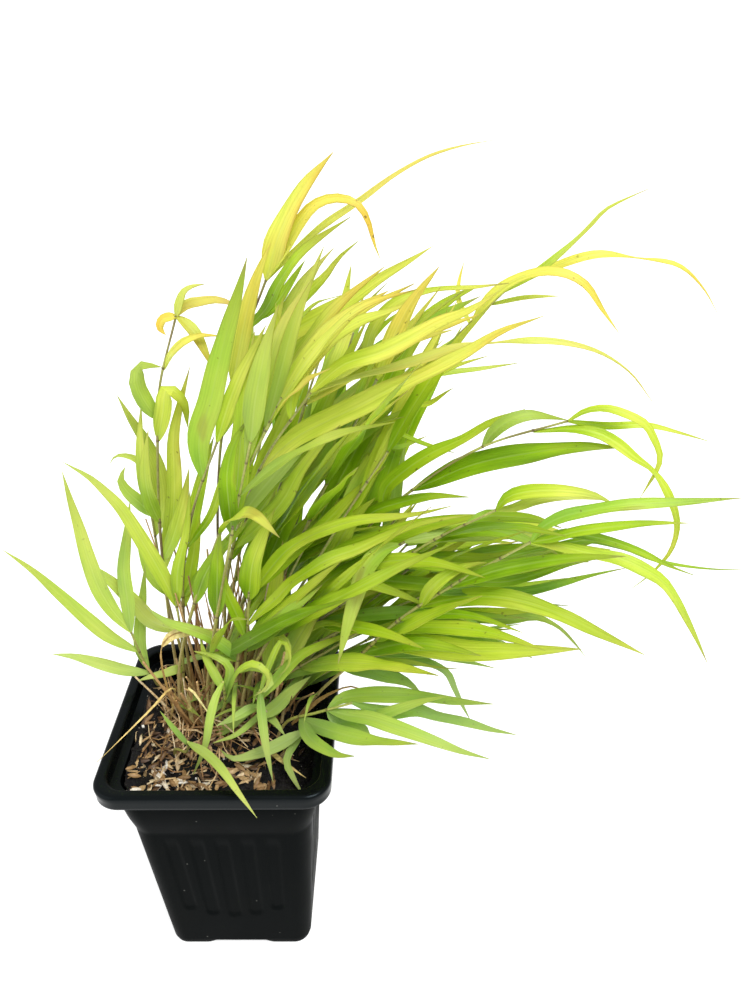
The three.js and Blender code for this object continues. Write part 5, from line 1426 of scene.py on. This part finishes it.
def lay_hulls(bm):
    shapes = [hull_shape(False), hull_shape(True)]
    random = chance(13)
    for i, (place, turns, stretch, colour) in enumerate(frame_hulls() + loose_litter()):
        broken = stretch[0] != stretch[1]
        shape = shapes[broken or i % 5 in (1, 3)]
        over = 180 if random() < 0.5 else 0
        stands = standing_at(place, (turns[0] + over, turns[1], turns[2]))
        corners = shape.lay(bm, stands @ Matrix.Diagonal((*stretch, 1)))
        mark(bm, corners, seed=colour, along=random(0, 60))


def add_stalk(bm, chain, radii, sides, seed, cut=True):
    """A round stalk or straw; a cut one ends square."""
    spans = len(radii) - 1
    shares = [0, *even_shares(spans), 1]
    if not cut:
        radii = [*radii[:-1], radii[-1] * 0.3]
    places = tube_places(chain, [0, *radii, 0], sides, shares)
    corners = sheet_of(bm, places)
    along = np.repeat(np.array(shares) * length_of(chain), sides + 1)
    mark(bm, corners, seed=seed, along=along)
    closed(bm, corners)


def straw_chain(random, x, y, heading, length, lift):
    """A straw that lies over the mix: it bends and rises between its ends."""
    points = []
    bend = random(-1.1, 1.1)
    for i in range(5):
        share = i / 4
        points.append((x, y, mix_height(x, y) + 0.5 + lift * sin(pi * share) + lift * 0.3))
        turn = heading + bend * (share - 0.5)
        x += cos(turn) * length / 4
        y += sin(turn) * length / 4
    return chain_through(points)


STRAW_HEAP = (203, 712, 27, 22)  # its middle on the sighting grid and its spread both ways


def lay_straws(bm, count):
    """Dead roots and straws, most of them in front of the crown and on its left."""
    random = chance(31)
    reach = wall_half(SOIL_EDGE) - WALL - 3
    laid = 0
    while laid < count:
        out = sqrt(-2 * log(1 - random() * 0.95))
        angle = random(0, 2 * pi)
        across, down, wide, high = STRAW_HEAP
        x, y, _ = lying_at(
            across + wide * out * cos(angle), down + high * out * sin(angle), SOIL_TOP)
        length = random(9, 36)
        heading = random(0, 2 * pi)
        lift = random(0, 9) * eased(y, -14, 12)
        chain = straw_chain(random, x, y, heading, length, lift)
        if max(max(abs(place[0]), abs(place[1])) for place in chain) > reach:
            continue
        radius = random(0.22, 0.56)
        radii = [radius, radius * 1.1, radius, radius * 0.9, radius * 0.75]
        add_stalk(bm, chain, radii, 4, random(0.1, 1), cut=random() < 0.6)
        laid += 1


# fine roots on the bank at the left wall: across and down on the sighting grid, and their height
ROOT_HAIRS = [
    [(137, 700, 1), (146, 694, 4), (158, 690, 6), (171, 681, 3)],
    [(148, 711, 2), (160, 702, 5), (172, 688, 6), (181, 672, 4)],
    [(136, 706, 3), (152, 702, 3), (160, 700, 3), (172, 698, 1)],
    [(138, 722, 1), (148, 724, 4), (150, 738, 3), (157, 748, 1)],
    [(131, 742, 1), (134, 732, 5), (140, 730, 4), (143, 742, 1)],
    [(146, 672, 2), (160, 668, 4), (176, 664, 3), (188, 668, 1)],
    [(174, 706, 4), (180, 722, 6), (178, 738, 3), (170, 744, 1)],
]


def lay_tangle(bm, count):
    """Straws, and fine roots on the bank."""
    lay_straws(bm, count)
    for i, points in enumerate(ROOT_HAIRS):
        places = [lying_at(across, down, SOIL_EDGE + 17 + lift) for across, down, lift in points]
        chain = chain_through([(*np.clip(place[:2], -46, 46), place[2]) for place in places])
        add_stalk(bm, chain, [0.26, 0.24, 0.22, 0.22, 0.2, 0.16, 0.1], 4, 0.75 + 0.03 * i, cut=False)


def frame_stubble(corners):
    """The dry stalks that the frame kept standing."""
    def top_corner(axis):
        return [axis[2] + np.array((STUBBLE_RADIUS * 0.7, 0, 0))]

    made = []
    for index in range(STUBBLE_COUNT):
        axis = corners.first(RULE_TRIES, lambda attempt: stubble_axis(index, attempt), top_corner)
        if axis is not None:
            made.append(axis)
    return made


def broken_stalk(index):
    """A finer dry stalk, which may lean any way; every fourth is tall and stands nearly upright."""
    random = chance(95000 + index)
    x, y = place_in_crown(random)
    height = random(9, 46)
    lean = np.array((random(-0.75, 0.6), random(-0.7, 0.4), 1))
    if index % 4 == 0:
        x, y, _ = lying_at(random(198, 262), random(684, 712), SOIL_TOP)
        height = random(48, 115)
        lean = np.array((random(-0.16, 0.28), random(-0.12, 0.16), 1))
    foot = np.array((x, y, SOIL_TOP - 2))
    kink = np.array((random(-3, 3), random(-3, 3), 0))
    return [foot, foot + lean * (height / 2) + kink, foot + lean * height]


def clear_of(axis, others, gap):
    """True when the stalk's axis keeps its distance from all the others."""
    here = places_on(axis, even_shares(12))[:, None]
    return all(np.sqrt(((here - other) ** 2).sum(2)).min() >= gap for other in others)


def raise_stalks(bm, corners, more):
    """Dry stalks left from earlier years: the frame's, and finer ones between them."""
    kept = frame_stubble(corners)
    axes = [places_on(axis, even_shares(12)) for axis in kept]
    axes += [places_on(stem["axis"], even_shares(40)) for stem in grown_stems()]
    of_frame = len(kept)
    for index in range(4 * more):
        axis = broken_stalk(index)
        if len(kept) < of_frame + more and clear_of(axis, axes, 1.5):
            kept.append(axis)
    random = chance(41)
    for i, axis in enumerate(kept):
        radius = STUBBLE_RADIUS * (0.95 if i < of_frame else random(0.4, 0.85))
        joint = random()
        radii = [radius * (1.35 if abs(s - joint) < 0.06 else 1 - 0.2 * s) for s in even_shares(9)]
        add_stalk(bm, chain_through(axis), radii, 6, random(0.15, 1))


def leaf_end(plan):
    """The broad blade at the end of a dead leaf stalk."""
    points = places_on(chain_through(plan["points"]), (0.62, 0.72, 0.82, 0.91, 1))
    return {**plan, "points": points, "width": 4.6}


def dry_leaves(bm, corners, step, thickness):
    """Last year's leaves: the frame's."""
    for index, row in enumerate(DRY_BLADES):
        root = np.array((*row[LINE], SOIL_TOP - 2))
        seed = DRY_SEED + index
        plan = corners.first(HAND_TRIES, lambda attempt: hand_blade(root, row, seed, attempt))
        if plan is not None:
            if index == 0:
                add_blade(bm, leaf_end(plan), step, plan["tone"], 0.82)
                plan["width"] = 1.1
            add_blade(bm, plan, step, plan["tone"], (index * 0.37 + 0.2) % 1)
    thicken(bm, thickness)


STRAW_COLOURS = [
    (0.0, "7a5334"), (0.2, "a47c4e"), (0.45, "c49c66"), (0.7, "dbb981"), (0.9, "e8d0a2"),
    (1.0, "ecdcbc")]
HULL_COLOURS = [
    (0.0, "402c20"), (0.25, "745636"), (0.5, "aa885a"), (0.7, "d0b384"), (0.88, "e2d3b2"),
    (1.0, "eae6dc")]
DRY_LEAF_COLOURS = [(0.0, "b58f54"), (0.4, "d2b068"), (0.7, "e4cc7e"), (1.0, "e4d992")]


class FOREST_OT_litter(bpy.types.Operator):
    """Scatter rice hulls, dead roots and straws, and stand last year's dry stalks in the crown"""
    bl_idname = "forest_grass.litter"
    bl_label = "Hulls and Dry Growth"

    def execute(self, context):
        settings = context.scene.forest_mix
        grass = context.scene.forest_grass
        corners = Corners("soil")
        husk = dead_grass("rice_hull_husk", HULL_COLOURS, 0.5)
        straw = dead_grass("dead_straw_and_root", STRAW_COLOURS)
        dead_leaf = dead_grass("dead_grass_leaf", DRY_LEAF_COLOURS)
        mix_piece("rice_hulls", husk, STRAW_NUMBERS, lay_hulls)
        mix_piece("straw_tangle", straw, STRAW_NUMBERS, lay_tangle, settings.straws)
        mix_piece("dry_stalks", straw, STRAW_NUMBERS, raise_stalks, corners, settings.more_stalks)
        mix_piece(
            "dry_leaves", dead_leaf, LEAF_NUMBERS, dry_leaves, corners, grass.blade_step / MM,
            grass.blade_thickness / MM)
        return {"FINISHED"}


# ---------------- blades and stems

LEAF_NUMBERS = ("across", "along", "share", "tone", "seed", "edge")


def blade_width(width, share, slender):
    """Width of a blade at shares of its length: round at its base, then a long taper, the longer
    the more slender the blade."""
    before = np.clip(1 - share / BLADE_WIDEST, 0, 1)
    widening = BLADE_ROOT + (BLADE_BREADTH * width - BLADE_ROOT) * (1 - before ** 2.1)
    past = np.clip((share - BLADE_WIDEST) / (1 - BLADE_WIDEST), 0, 1)
    tapering = BLADE_BREADTH * width * (1 - past ** (1.85 - 0.5 * slender))
    return np.where(share < BLADE_WIDEST, widening, tapering)


# the places of a blade's corners across it, and how many rows of them it has
ACROSS = np.array((-1, -0.66, -0.3, 0, 0.3, 0.66, 1))
FEWEST_ROWS, MOST_ROWS = 9, 64


def blade_places(plan, step, seed):
    """[row][column] places of a blade: folded at its midrib, with slightly waved edges."""
    chain = chain_through(plan["points"])
    length = length_of(chain)
    rows = min(max(round(length / step), FEWEST_ROWS), MOST_ROWS)
    shares = np.array(even_shares(rows)) ** 1.08
    phase = seed * 50
    slender = eased(length / plan["width"], 12, 30)
    width = blade_width(plan["width"], shares, slender)
    places = []
    for (place, along), share, wide in zip(stations_on(chain, shares), shares, width):
        # every wave dies out towards both ends of the blade
        middle = sin(pi * share)
        swing = (8 + 26 * slender) * middle * sin(share * length / 9 + phase * 2.3)
        turn = radians(mix(*plan["roll"], share) + swing)
        flat = turned(unit(cross(along, plan["facing"])), along, turn)
        up = cross(flat, along)
        half = max(wide / 2, 0.07)
        fold = mix(0.42, 0.14, min(share * 1.6, 1)) * half
        wave = 0.045 * plan["width"] * middle * np.sin(
            share * length / 5.2 + phase + np.sign(ACROSS) * 1.3)
        lift = fold * (np.sqrt(ACROSS ** 2 + 0.02) - 0.45) + (wave - 0.1 * half) * ACROSS ** 2
        sway = 0.05 * plan["width"] * middle * sin(share * length / 14 + phase * 1.7)
        places.append(place + np.outer(ACROSS * half + sway, flat) + np.outer(lift, up))
    return np.array(places), shares, width, length


def add_blade(bm, plan, step, tone, seed, rise=0.0):
    places, shares, width, length = blade_places(plan, step, seed)
    corners = sheet_of(bm, places)
    columns = len(ACROSS)
    mark(
        bm, corners,
        across=np.outer(width / 2, ACROSS),
        along=np.repeat(shares * length, columns),
        share=np.repeat(shares, columns),
        tone=tone + rise * np.maximum(places[:, :, 2] - RISE_FROM, 0) / 100,
        seed=seed, edge=np.tile(np.abs(ACROSS), len(shares)))


PLAIN_FLUSH = 0.45
PLAIN_TONE = 0.24
GOLDEN_RISE = 0.36  # how much more golden a plain blade is for each 100 mm above RISE_FROM
RISE_FROM = 270.0


def nearest_on(axis, across, down):
    """The place on a stem's axis, and its share, that shows nearest to a mark on the grid."""
    shares = even_shares(60)
    rows = zip(places_on(axis, shares), shares)
    return min(rows, key=lambda row: dist(seen_at(row[0]), (across, down)))


def hand_stem(index):
    name, foot, flush, path, laid_blades = LAID_OUT[index]
    corners = Corners("stem_" + name)
    axis = hand_axis(foot, path)
    blades = []
    for order, row in enumerate(laid_blades):
        root, share = nearest_on(axis, *row[LINE])
        seed = HAND_SEED + index * 41 + order
        plan = corners.first(HAND_TRIES, lambda attempt: hand_blade(root, row, seed, attempt))
        if plan is not None:
            blades.append({**plan, "share": share})
    return {"name": name, "axis": axis, "blades": blades, "flush": flush}


def inner_stem(index):
    name = f"inner_{index + 1:02d}"
    corners = Corners("stem_" + name)
    axis = corners.first(AXIS_TRIES, lambda attempt: inner_axis(index, attempt), foot_corners)
    if axis is None:
        raise RuntimeError(f"no axis of stem_{name} matches the frame")
    blades = []
    for order in range(INNER_BLADES):
        plan = corners.first(RULE_TRIES, lambda attempt: inner_blade(axis, index, order, attempt))
        if plan is not None:
            blades.append({**plan, "share": inner_share(order)})
    return {"name": name, "axis": axis, "blades": blades, "flush": PLAIN_FLUSH}


_grown = []


def grown_stems():
    """Every stem of the frame with its blades, worked out once."""
    if not _grown:
        _grown.extend(hand_stem(index) for index in range(len(LAID_OUT)))
        _grown.extend(inner_stem(index) for index in range(INNER_STEMS))
    return _grown


class Standing:
    """What already stands, as coarse strips, to keep new blades from running through it."""

    def __init__(self):
        self.strips = []

    def strip_of(self, plan):
        chain = chain_through(plan["points"])
        shares = np.linspace(0.05, 1, 12)
        width = blade_width(plan["width"], shares, eased(length_of(chain) / plan["width"], 12, 30))
        rows = []
        for (place, along), share, wide in zip(stations_on(chain, shares), shares, width):
            turn = radians(mix(*plan["roll"], share))
            flat = turned(unit(cross(along, plan["facing"])), along, turn)
            rows.append([place + flat * (wide / 2 * side) for side in (-1, 0, 1)])
        return self.tree_of(np.array(rows))

    def tree_of(self, places):
        rows, columns = places.shape[:2]
        quads = [
            (r * columns + c, r * columns + c + 1, (r + 1) * columns + c + 1, (r + 1) * columns + c)
            for r in range(rows - 1) for c in range(columns - 1)]
        flat = places.reshape(-1, 3)
        return flat.min(0), flat.max(0), BVHTree.FromPolygons(flat.tolist(), quads)

    def add(self, owner, strip):
        self.strips.append((owner, *strip))

    def add_culm(self, stem):
        shares = even_shares(12)
        radii = [0.9] * len(shares)
        self.add(stem["name"], self.tree_of(tube_places(stem["axis"], radii, 4, shares)))

    def hits(self, owner, strip):
        """One True for each thing of another owner that a strip runs through."""
        low, high, tree = strip
        for other, other_low, other_high, other_tree in self.strips:
            apart = other == owner or (low > other_high).any() or (high < other_low).any()
            if not apart and tree.overlap(other_tree):
                yield True

    def take_first(self, stem, plan_of, fits):
        """Gives a stem the first blade of the numbered attempts that fits and meets nothing."""
        for attempt in range(FILL_TRIES):
            plan = plan_of(attempt)
            if not fits(plan):
                continue
            strip = self.strip_of(plan)
            if not any(self.hits(stem["name"], strip)):
                self.add(None, strip)
                stem["blades"].append(plan)
                return


def fill_blade(stem, index, order, attempt):
    """A blade that grows in a free place along a stem, on the same rule as the inner blades."""
    random = chance(70000 + index * 997 + order * 101 + attempt)
    share = random(0.3, 0.98)
    root, along = stations_on(stem["axis"], [share])[0]
    sideways = sideways_of(random, root, along)
    spread = radians(random(6, 32)) * (1 if random() < 0.5 else -1)
    heading = along * cos(spread) + sideways * sin(spread)
    length = random(*FILL_LENGTH)
    blade = side_blade(random, root, heading, length, FILL_DROOP, FILL_WIDTH)
    return {**blade, "share": share}


def crown_blade(stem, order, attempt):
    """A short blade low on a stem, which lies out over the rim of the crown."""
    random = chance(80000 + order * 61 + attempt)
    share = random(0.03, 0.2)
    root, _ = stations_on(stem["axis"], [share])[0]
    bearing = random(*CROWN_BEARING)
    heading = unit(np.array((cos(bearing), sin(bearing), random(0.1, 1.5))))
    length = random(*CROWN_LENGTH)
    points = arched(root, heading, length, random(*CROWN_DROOP))
    return {
        "points": points,
        "width": random(*CROWN_WIDTH),
        "facing": facing_of(points[3], 1.0),
        "roll": (random(-40, 40), random(-80, 80)),
        "share": share,
        "tone": random(0.06, 0.44),
    }


FILL_TRIES = 40
FILL_LENGTH, FILL_DROOP, FILL_WIDTH = (80, 165), (0.05, 0.4), (4.2, 8.4)
CROWN_LENGTH, CROWN_DROOP, CROWN_WIDTH = (26, 66), (0.1, 0.6), (2.2, 4.6)
CROWN_BEARING = (-2.6, 0.9)  # in radians, from the front left round to the right
CROWN_WINDOW = (190, 335, 632, 752)  # where crown blades end on the grid: across, then down
FREE_SHARE = 0.45  # of an opening, which no blade may cross
# the listed stems that take filling blades, as every inner stem does
FILLED = ("arching_right", "middle_right", "long_right", "olive_centre", "high_right")
# where light shows between the stems: across, down and half sizes on the sighting grid
OPENINGS = [
    (191, 474, 12, 17), (264, 450, 18, 26), (268, 496, 12, 18), (247, 543, 15, 22), (208, 548, 13, 20),
    (204, 608, 17, 26), (165, 540, 12, 20), (303, 514, 9, 16), (312, 580, 18, 13), (402, 547, 16, 11),
    (392, 606, 16, 12), (361, 643, 24, 12), (234, 598, 18, 30),
]
# the bearings at which blades show, in degrees up from the right: down on the grid, lowest, highest
BEARINGS = np.array(((300, 22, 78), (430, 14, 75), (540, -6, 62), (640, -16, 45)))
LEFT_PART, LEFT_LEEWAY = 225, 50  # left of LEFT_PART, blades may show steeper by LEFT_LEEWAY


def stays_open(marks):
    """True when no mark on the grid lies in an opening."""
    return not any(
        ((across - middle) / half) ** 2 + ((down - level) / high) ** 2 < FREE_SHARE
        for across, down in marks for middle, level, half, high in OPENINGS)


def flows(marks):
    """True when a blade shows at a bearing that suits its place in the clump."""
    (across, down), (far, low) = marks[0], marks[-1]
    bearing = degrees(atan2(down - low, far - across))
    lowest = np.interp(down, BEARINGS[:, 0], BEARINGS[:, 1])
    highest = np.interp(down, BEARINGS[:, 0], BEARINGS[:, 2])
    return lowest < bearing < highest + (LEFT_LEEWAY if across < LEFT_PART else 0)


def clears_rim(points):
    """True when a blade passes the pot's wall above the rim."""
    places = places_on(points, even_shares(12))
    out = np.abs(places[:, :2]).max(1)
    over_wall = (WALL_PROFILE[3][0] - 5 < out) & (out < RIM_HALF + 3)
    return not (over_wall & (places[:, 2] < POT_HEIGHT + 2)).any()


# blades laid out at the crown and on the left
YOUNG_BLADES = [
    (6.4, 8, 0.3, 241, 661, 228, 649, 211, 638, 189, 629, 166, 621, 145, 606),
    (4.6, -20, 0.36, 241, 662, 228, 656, 209, 656, 194, 651),
    (7.0, -10, 0.2, 250, 640, 260, 633, 275, 624, 291, 610, 306, 599, 322, 585),
    (4.8, -14, 0.5, 240, 672, 256, 668, 267, 673, 272, 681, 268, 689, 256, 693),
    (3.2, -12, 0.46, 279, 634, 287, 643, 288, 654, 282, 664, 274, 671),
    (5.2, -14, 0.16, 268, 679, 293, 673, 315, 669, 341, 665),
    (6.8, -12, 0.3, 212, 735, 232, 723, 250, 711, 262, 702),
    (7.6, -10, 0.24, 262, 724, 278, 705, 292, 687, 303, 672, 311, 657),
    (6.2, -8, 0.16, 232, 654, 242, 643, 255, 635, 272, 630),
    (3.4, -16, 0.5, 214, 744, 236, 736, 253, 724, 264, 709),
    (7.2, 6, 0.2, 192, 600, 206, 571, 223, 547, 241, 529, 248, 519),
    (6.0, 8, 0.34, 186, 604, 190, 574, 195, 540, 200, 498),
    (8.2, 4, 0.22, 246, 586, 250, 566, 256, 546, 266, 520, 275, 490),
    (5.6, 6, 0.26, 232, 562, 246, 532, 264, 505, 284, 480, 301, 456),
    (7.6, 10, 0.08, 232, 533, 229, 501, 228, 470, 234, 443, 248, 418),
]


def nearest_stem(stems, across, down):
    """The stem that shows nearest to a mark, best one in front, with its place and share there."""
    rows = [(stem, *nearest_on(stem["axis"], across, down)) for stem in stems]
    return min(rows, key=lambda row: dist(seen_at(row[1]), (across, down)) + 0.1 * row[1][1])


BOX_LEEWAY = 3.0  # mm that a blade may stand out of the frame's box


def inside_frame(points):
    low, high = np.array(CAD_BOX) / MM
    places = np.array(points)
    return bool((places > low - BOX_LEEWAY).all() and (places < high + BOX_LEEWAY).all())


def lay_young(stems, standing):
    """The listed young blades, each in the attempt that meets the fewest others."""
    for order, row in enumerate(YOUNG_BLADES):
        stem, root, share = nearest_stem(stems, *row[LINE])
        plans = [hand_blade(root, row, YOUNG_SEED + order, attempt) for attempt in range(HAND_TRIES)]
        plan = min(plans, key=lambda plan: sum(standing.hits(stem["name"], standing.strip_of(plan))))
        standing.add(None, standing.strip_of(plan))
        stem["blades"].append({**plan, "share": share})


def fill_fits(plan):
    """True when a blade keeps to the clump as it is seen, and clear of the pot."""
    points = plan["points"]
    marks = [seen_at(place) for place in places_on(points, even_shares(10))]
    fits = inside_heart(*marks[-1]) and stays_open(marks) and flows(marks)
    return fits and clears_rim(points) and inside_frame(points)


def crown_fits(plan):
    """True when a blade ends over the crown and keeps above the mix and clear of the pot."""
    points = plan["points"]
    across, down = seen_at(points[-1])
    left, right, upper, lower = CROWN_WINDOW
    fits = left < across < right and upper < down < lower
    above = min(point[2] for point in points) > SOIL_TOP + 2
    return fits and above and clears_rim(points) and inside_frame(points)


def fill_in(stems, count, young):
    """Adds blades to the inner stems wherever they fit, and young ones at the crown."""
    standing = Standing()
    for stem in stems:
        standing.add_culm(stem)
        for plan in stem["blades"]:
            standing.add(None, standing.strip_of(plan))
    lay_young(stems, standing)
    inner = [stem for stem in stems if stem["name"].startswith("inner") or stem["name"] in FILLED]
    for order in range(count):
        for index, stem in enumerate(inner):
            standing.take_first(
                stem, lambda attempt: fill_blade(stem, index, order, attempt), fill_fits)
    for order in range(young):
        stem = stems[order * 7 % len(stems)]
        standing.take_first(stem, lambda attempt: crown_blade(stem, order, attempt), crown_fits)


CULM_SIDES = 8
CULM_RADIUS = (0.98, 0.5)  # at the foot and at the top
SHEATH = 15.0  # length below a joint


def add_culm(bm, stem, seed, flush):
    """A culm with a sheath below each blade, which swells it and ends in a joint."""
    chain = chain_through(stem["axis"])
    length = length_of(chain)
    rows = round(length / 4)
    joints = sorted(plan["share"] for plan in stem["blades"])
    shares = sorted(set(even_shares(rows)) | {
        min(max(joint + offset / length, 0), 1) for joint in joints for offset in (-1.2, 0, 0.8)})
    radii, jointed = [], []
    for share in shares:
        below = min([(joint - share) * length for joint in joints if joint >= share - 1e-9], default=99)
        above = min([(share - joint) * length for joint in joints if joint <= share], default=99)
        sheath = 0.2 * max(1 - below / SHEATH, 0)
        radii.append(mix(*CULM_RADIUS, share) * (1 + sheath + 0.25 * exp(-(above / 1.5) ** 2)))
        jointed.append(max(exp(-(above / 2.2) ** 2), exp(-(below / 1.5) ** 2)))
    ends = [0, *shares, 1]
    corners = sheet_of(bm, tube_places(chain, [0, *radii, 0], CULM_SIDES, ends))
    across = CULM_SIDES + 1
    mark(
        bm, corners, along=np.repeat(np.array(ends) * length, across), share=np.repeat(ends, across),
        tone=np.repeat([0, *jointed, 0], across), seed=seed, across=flush)
    closed(bm, corners)


class FOREST_OT_stems(bpy.types.Operator):
    """Grow every leafy stem: a fine jointed culm with its folded, waved blades"""
    bl_idname = "forest_grass.stems"
    bl_label = "Leafy Stems"

    def execute(self, context):
        settings = context.scene.forest_grass
        stems = grown_stems()
        fill_in(stems, settings.fill_blades, settings.crown_blades)
        leaf = living_leaf()
        culm = living_culm()
        for index, stem in enumerate(stems):
            random = chance(600 + index)
            bm = new_mesh(*LEAF_NUMBERS)
            for plan in stem["blades"]:
                tone, rise = plan.get("tone"), 0
                if tone is None:
                    tone, rise = PLAIN_TONE + random(-0.24, 0.2), GOLDEN_RISE
                add_blade(bm, plan, settings.blade_step / MM, tone, random(), rise)
            thicken(bm, settings.blade_thickness / MM)
            blade_faces = len(bm.faces)
            add_culm(bm, stem, random(), stem["flush"])
            bm.faces.ensure_lookup_table()
            for face in bm.faces[blade_faces:]:
                face.material_index = 1
            name = stem["name"]
            finish_piece("grass_" + name, bm, [leaf, culm], "stem_" + name, 40)
        return {"FINISHED"}


# ---------------- studio

class FOREST_OT_studio(bpy.types.Operator):
    """Set the pale floor, the soft light and the camera"""
    bl_idname = "forest_grass.studio"
    bl_label = "Studio"

    def execute(self, context):
        settings = context.scene.forest_studio
        self.lay_floor()
        self.hang_lights(context, settings)
        self.stand_camera(context, settings)
        context.scene.view_settings.view_transform = "Standard"
        return {"FINISHED"}

    def lay_floor(self):
        bm = bmesh.new()
        bmesh.ops.create_grid(bm, x_segments=8, y_segments=8, size=40.0)
        floor = new_object("floor", mesh_of("floor", bm, 1))
        floor.data.materials.append(pale_paper())

    def hang_lights(self, context, settings):
        world = bpy.data.worlds.new("even_daylight")
        world.use_nodes = True
        sky = world.node_tree.nodes["Background"]
        sky.inputs["Color"].default_value = linear("fbfdff")
        sky.inputs["Strength"].default_value = settings.daylight
        context.scene.world = world
        # name, the way it shines from, the breadth of its source in degrees, watts a square metre
        for name, source, breadth, power in (
            ("high_window", (0.45, -0.5, 1.0), 30, settings.window),
            ("reflector", (-1.0, -0.4, 0.6), 60, 0.3 * settings.window),
        ):
            lamp = bpy.data.lights.new(name, "SUN")
            lamp.angle = radians(breadth)
            lamp.energy = power
            light = new_object(name, lamp)
            light.rotation_euler = (-Vector(source)).to_track_quat("-Z", "Y").to_euler()

    def stand_camera(self, context, settings):
        lens = bpy.data.cameras.new("camera")
        lens.lens = settings.lens
        camera = new_object("camera", lens)
        right, up = Vector(GRID_RIGHT), -Vector(GRID_DOWN)
        turn = Matrix((right, up, -Vector(FORWARD))).transposed()
        camera.matrix_world = Matrix.Translation(Vector(EYE) * MM) @ turn.to_4x4()
        context.scene.camera = camera


# ---------------- the add-on

class FOREST_PT_panel(bpy.types.Panel):
    bl_idname = "FOREST_PT_panel"
    bl_label = "Forest Grass"
    bl_space_type = "VIEW_3D"
    bl_region_type = "UI"
    bl_category = "Forest Grass"

    def draw(self, context):
        scene = context.scene
        for operator, settings in STEPS:
            box = self.layout.box()
            box.operator(operator.bl_idname)
            for name in settings.__annotations__ if settings else ():
                box.prop(getattr(scene, SETTINGS[settings]), name)


SETTINGS = {
    PotSettings: "forest_pot", MixSettings: "forest_mix", GrassSettings: "forest_grass",
    StudioSettings: "forest_studio",
}
# the operators in their order, each with the settings that it shows
STEPS = (
    (FOREST_OT_pot, PotSettings), (FOREST_OT_mix, MixSettings), (FOREST_OT_litter, None),
    (FOREST_OT_stems, GrassSettings), (FOREST_OT_studio, StudioSettings),
)


def register():
    for settings, name in SETTINGS.items():
        bpy.utils.register_class(settings)
        setattr(bpy.types.Scene, name, PointerProperty(type=settings))
    for operator, _ in STEPS:
        bpy.utils.register_class(operator)
    bpy.utils.register_class(FOREST_PT_panel)


def unregister():
    bpy.utils.unregister_class(FOREST_PT_panel)
    for operator, _ in reversed(STEPS):
        bpy.utils.unregister_class(operator)
    for settings, name in SETTINGS.items():
        delattr(bpy.types.Scene, name)
        bpy.utils.unregister_class(settings)


def main():
    register()
    for operator, _ in STEPS:
        category, name = operator.bl_idname.split(".")
        getattr(getattr(bpy.ops, category), name)()


if __name__ == "__main__":
    main()
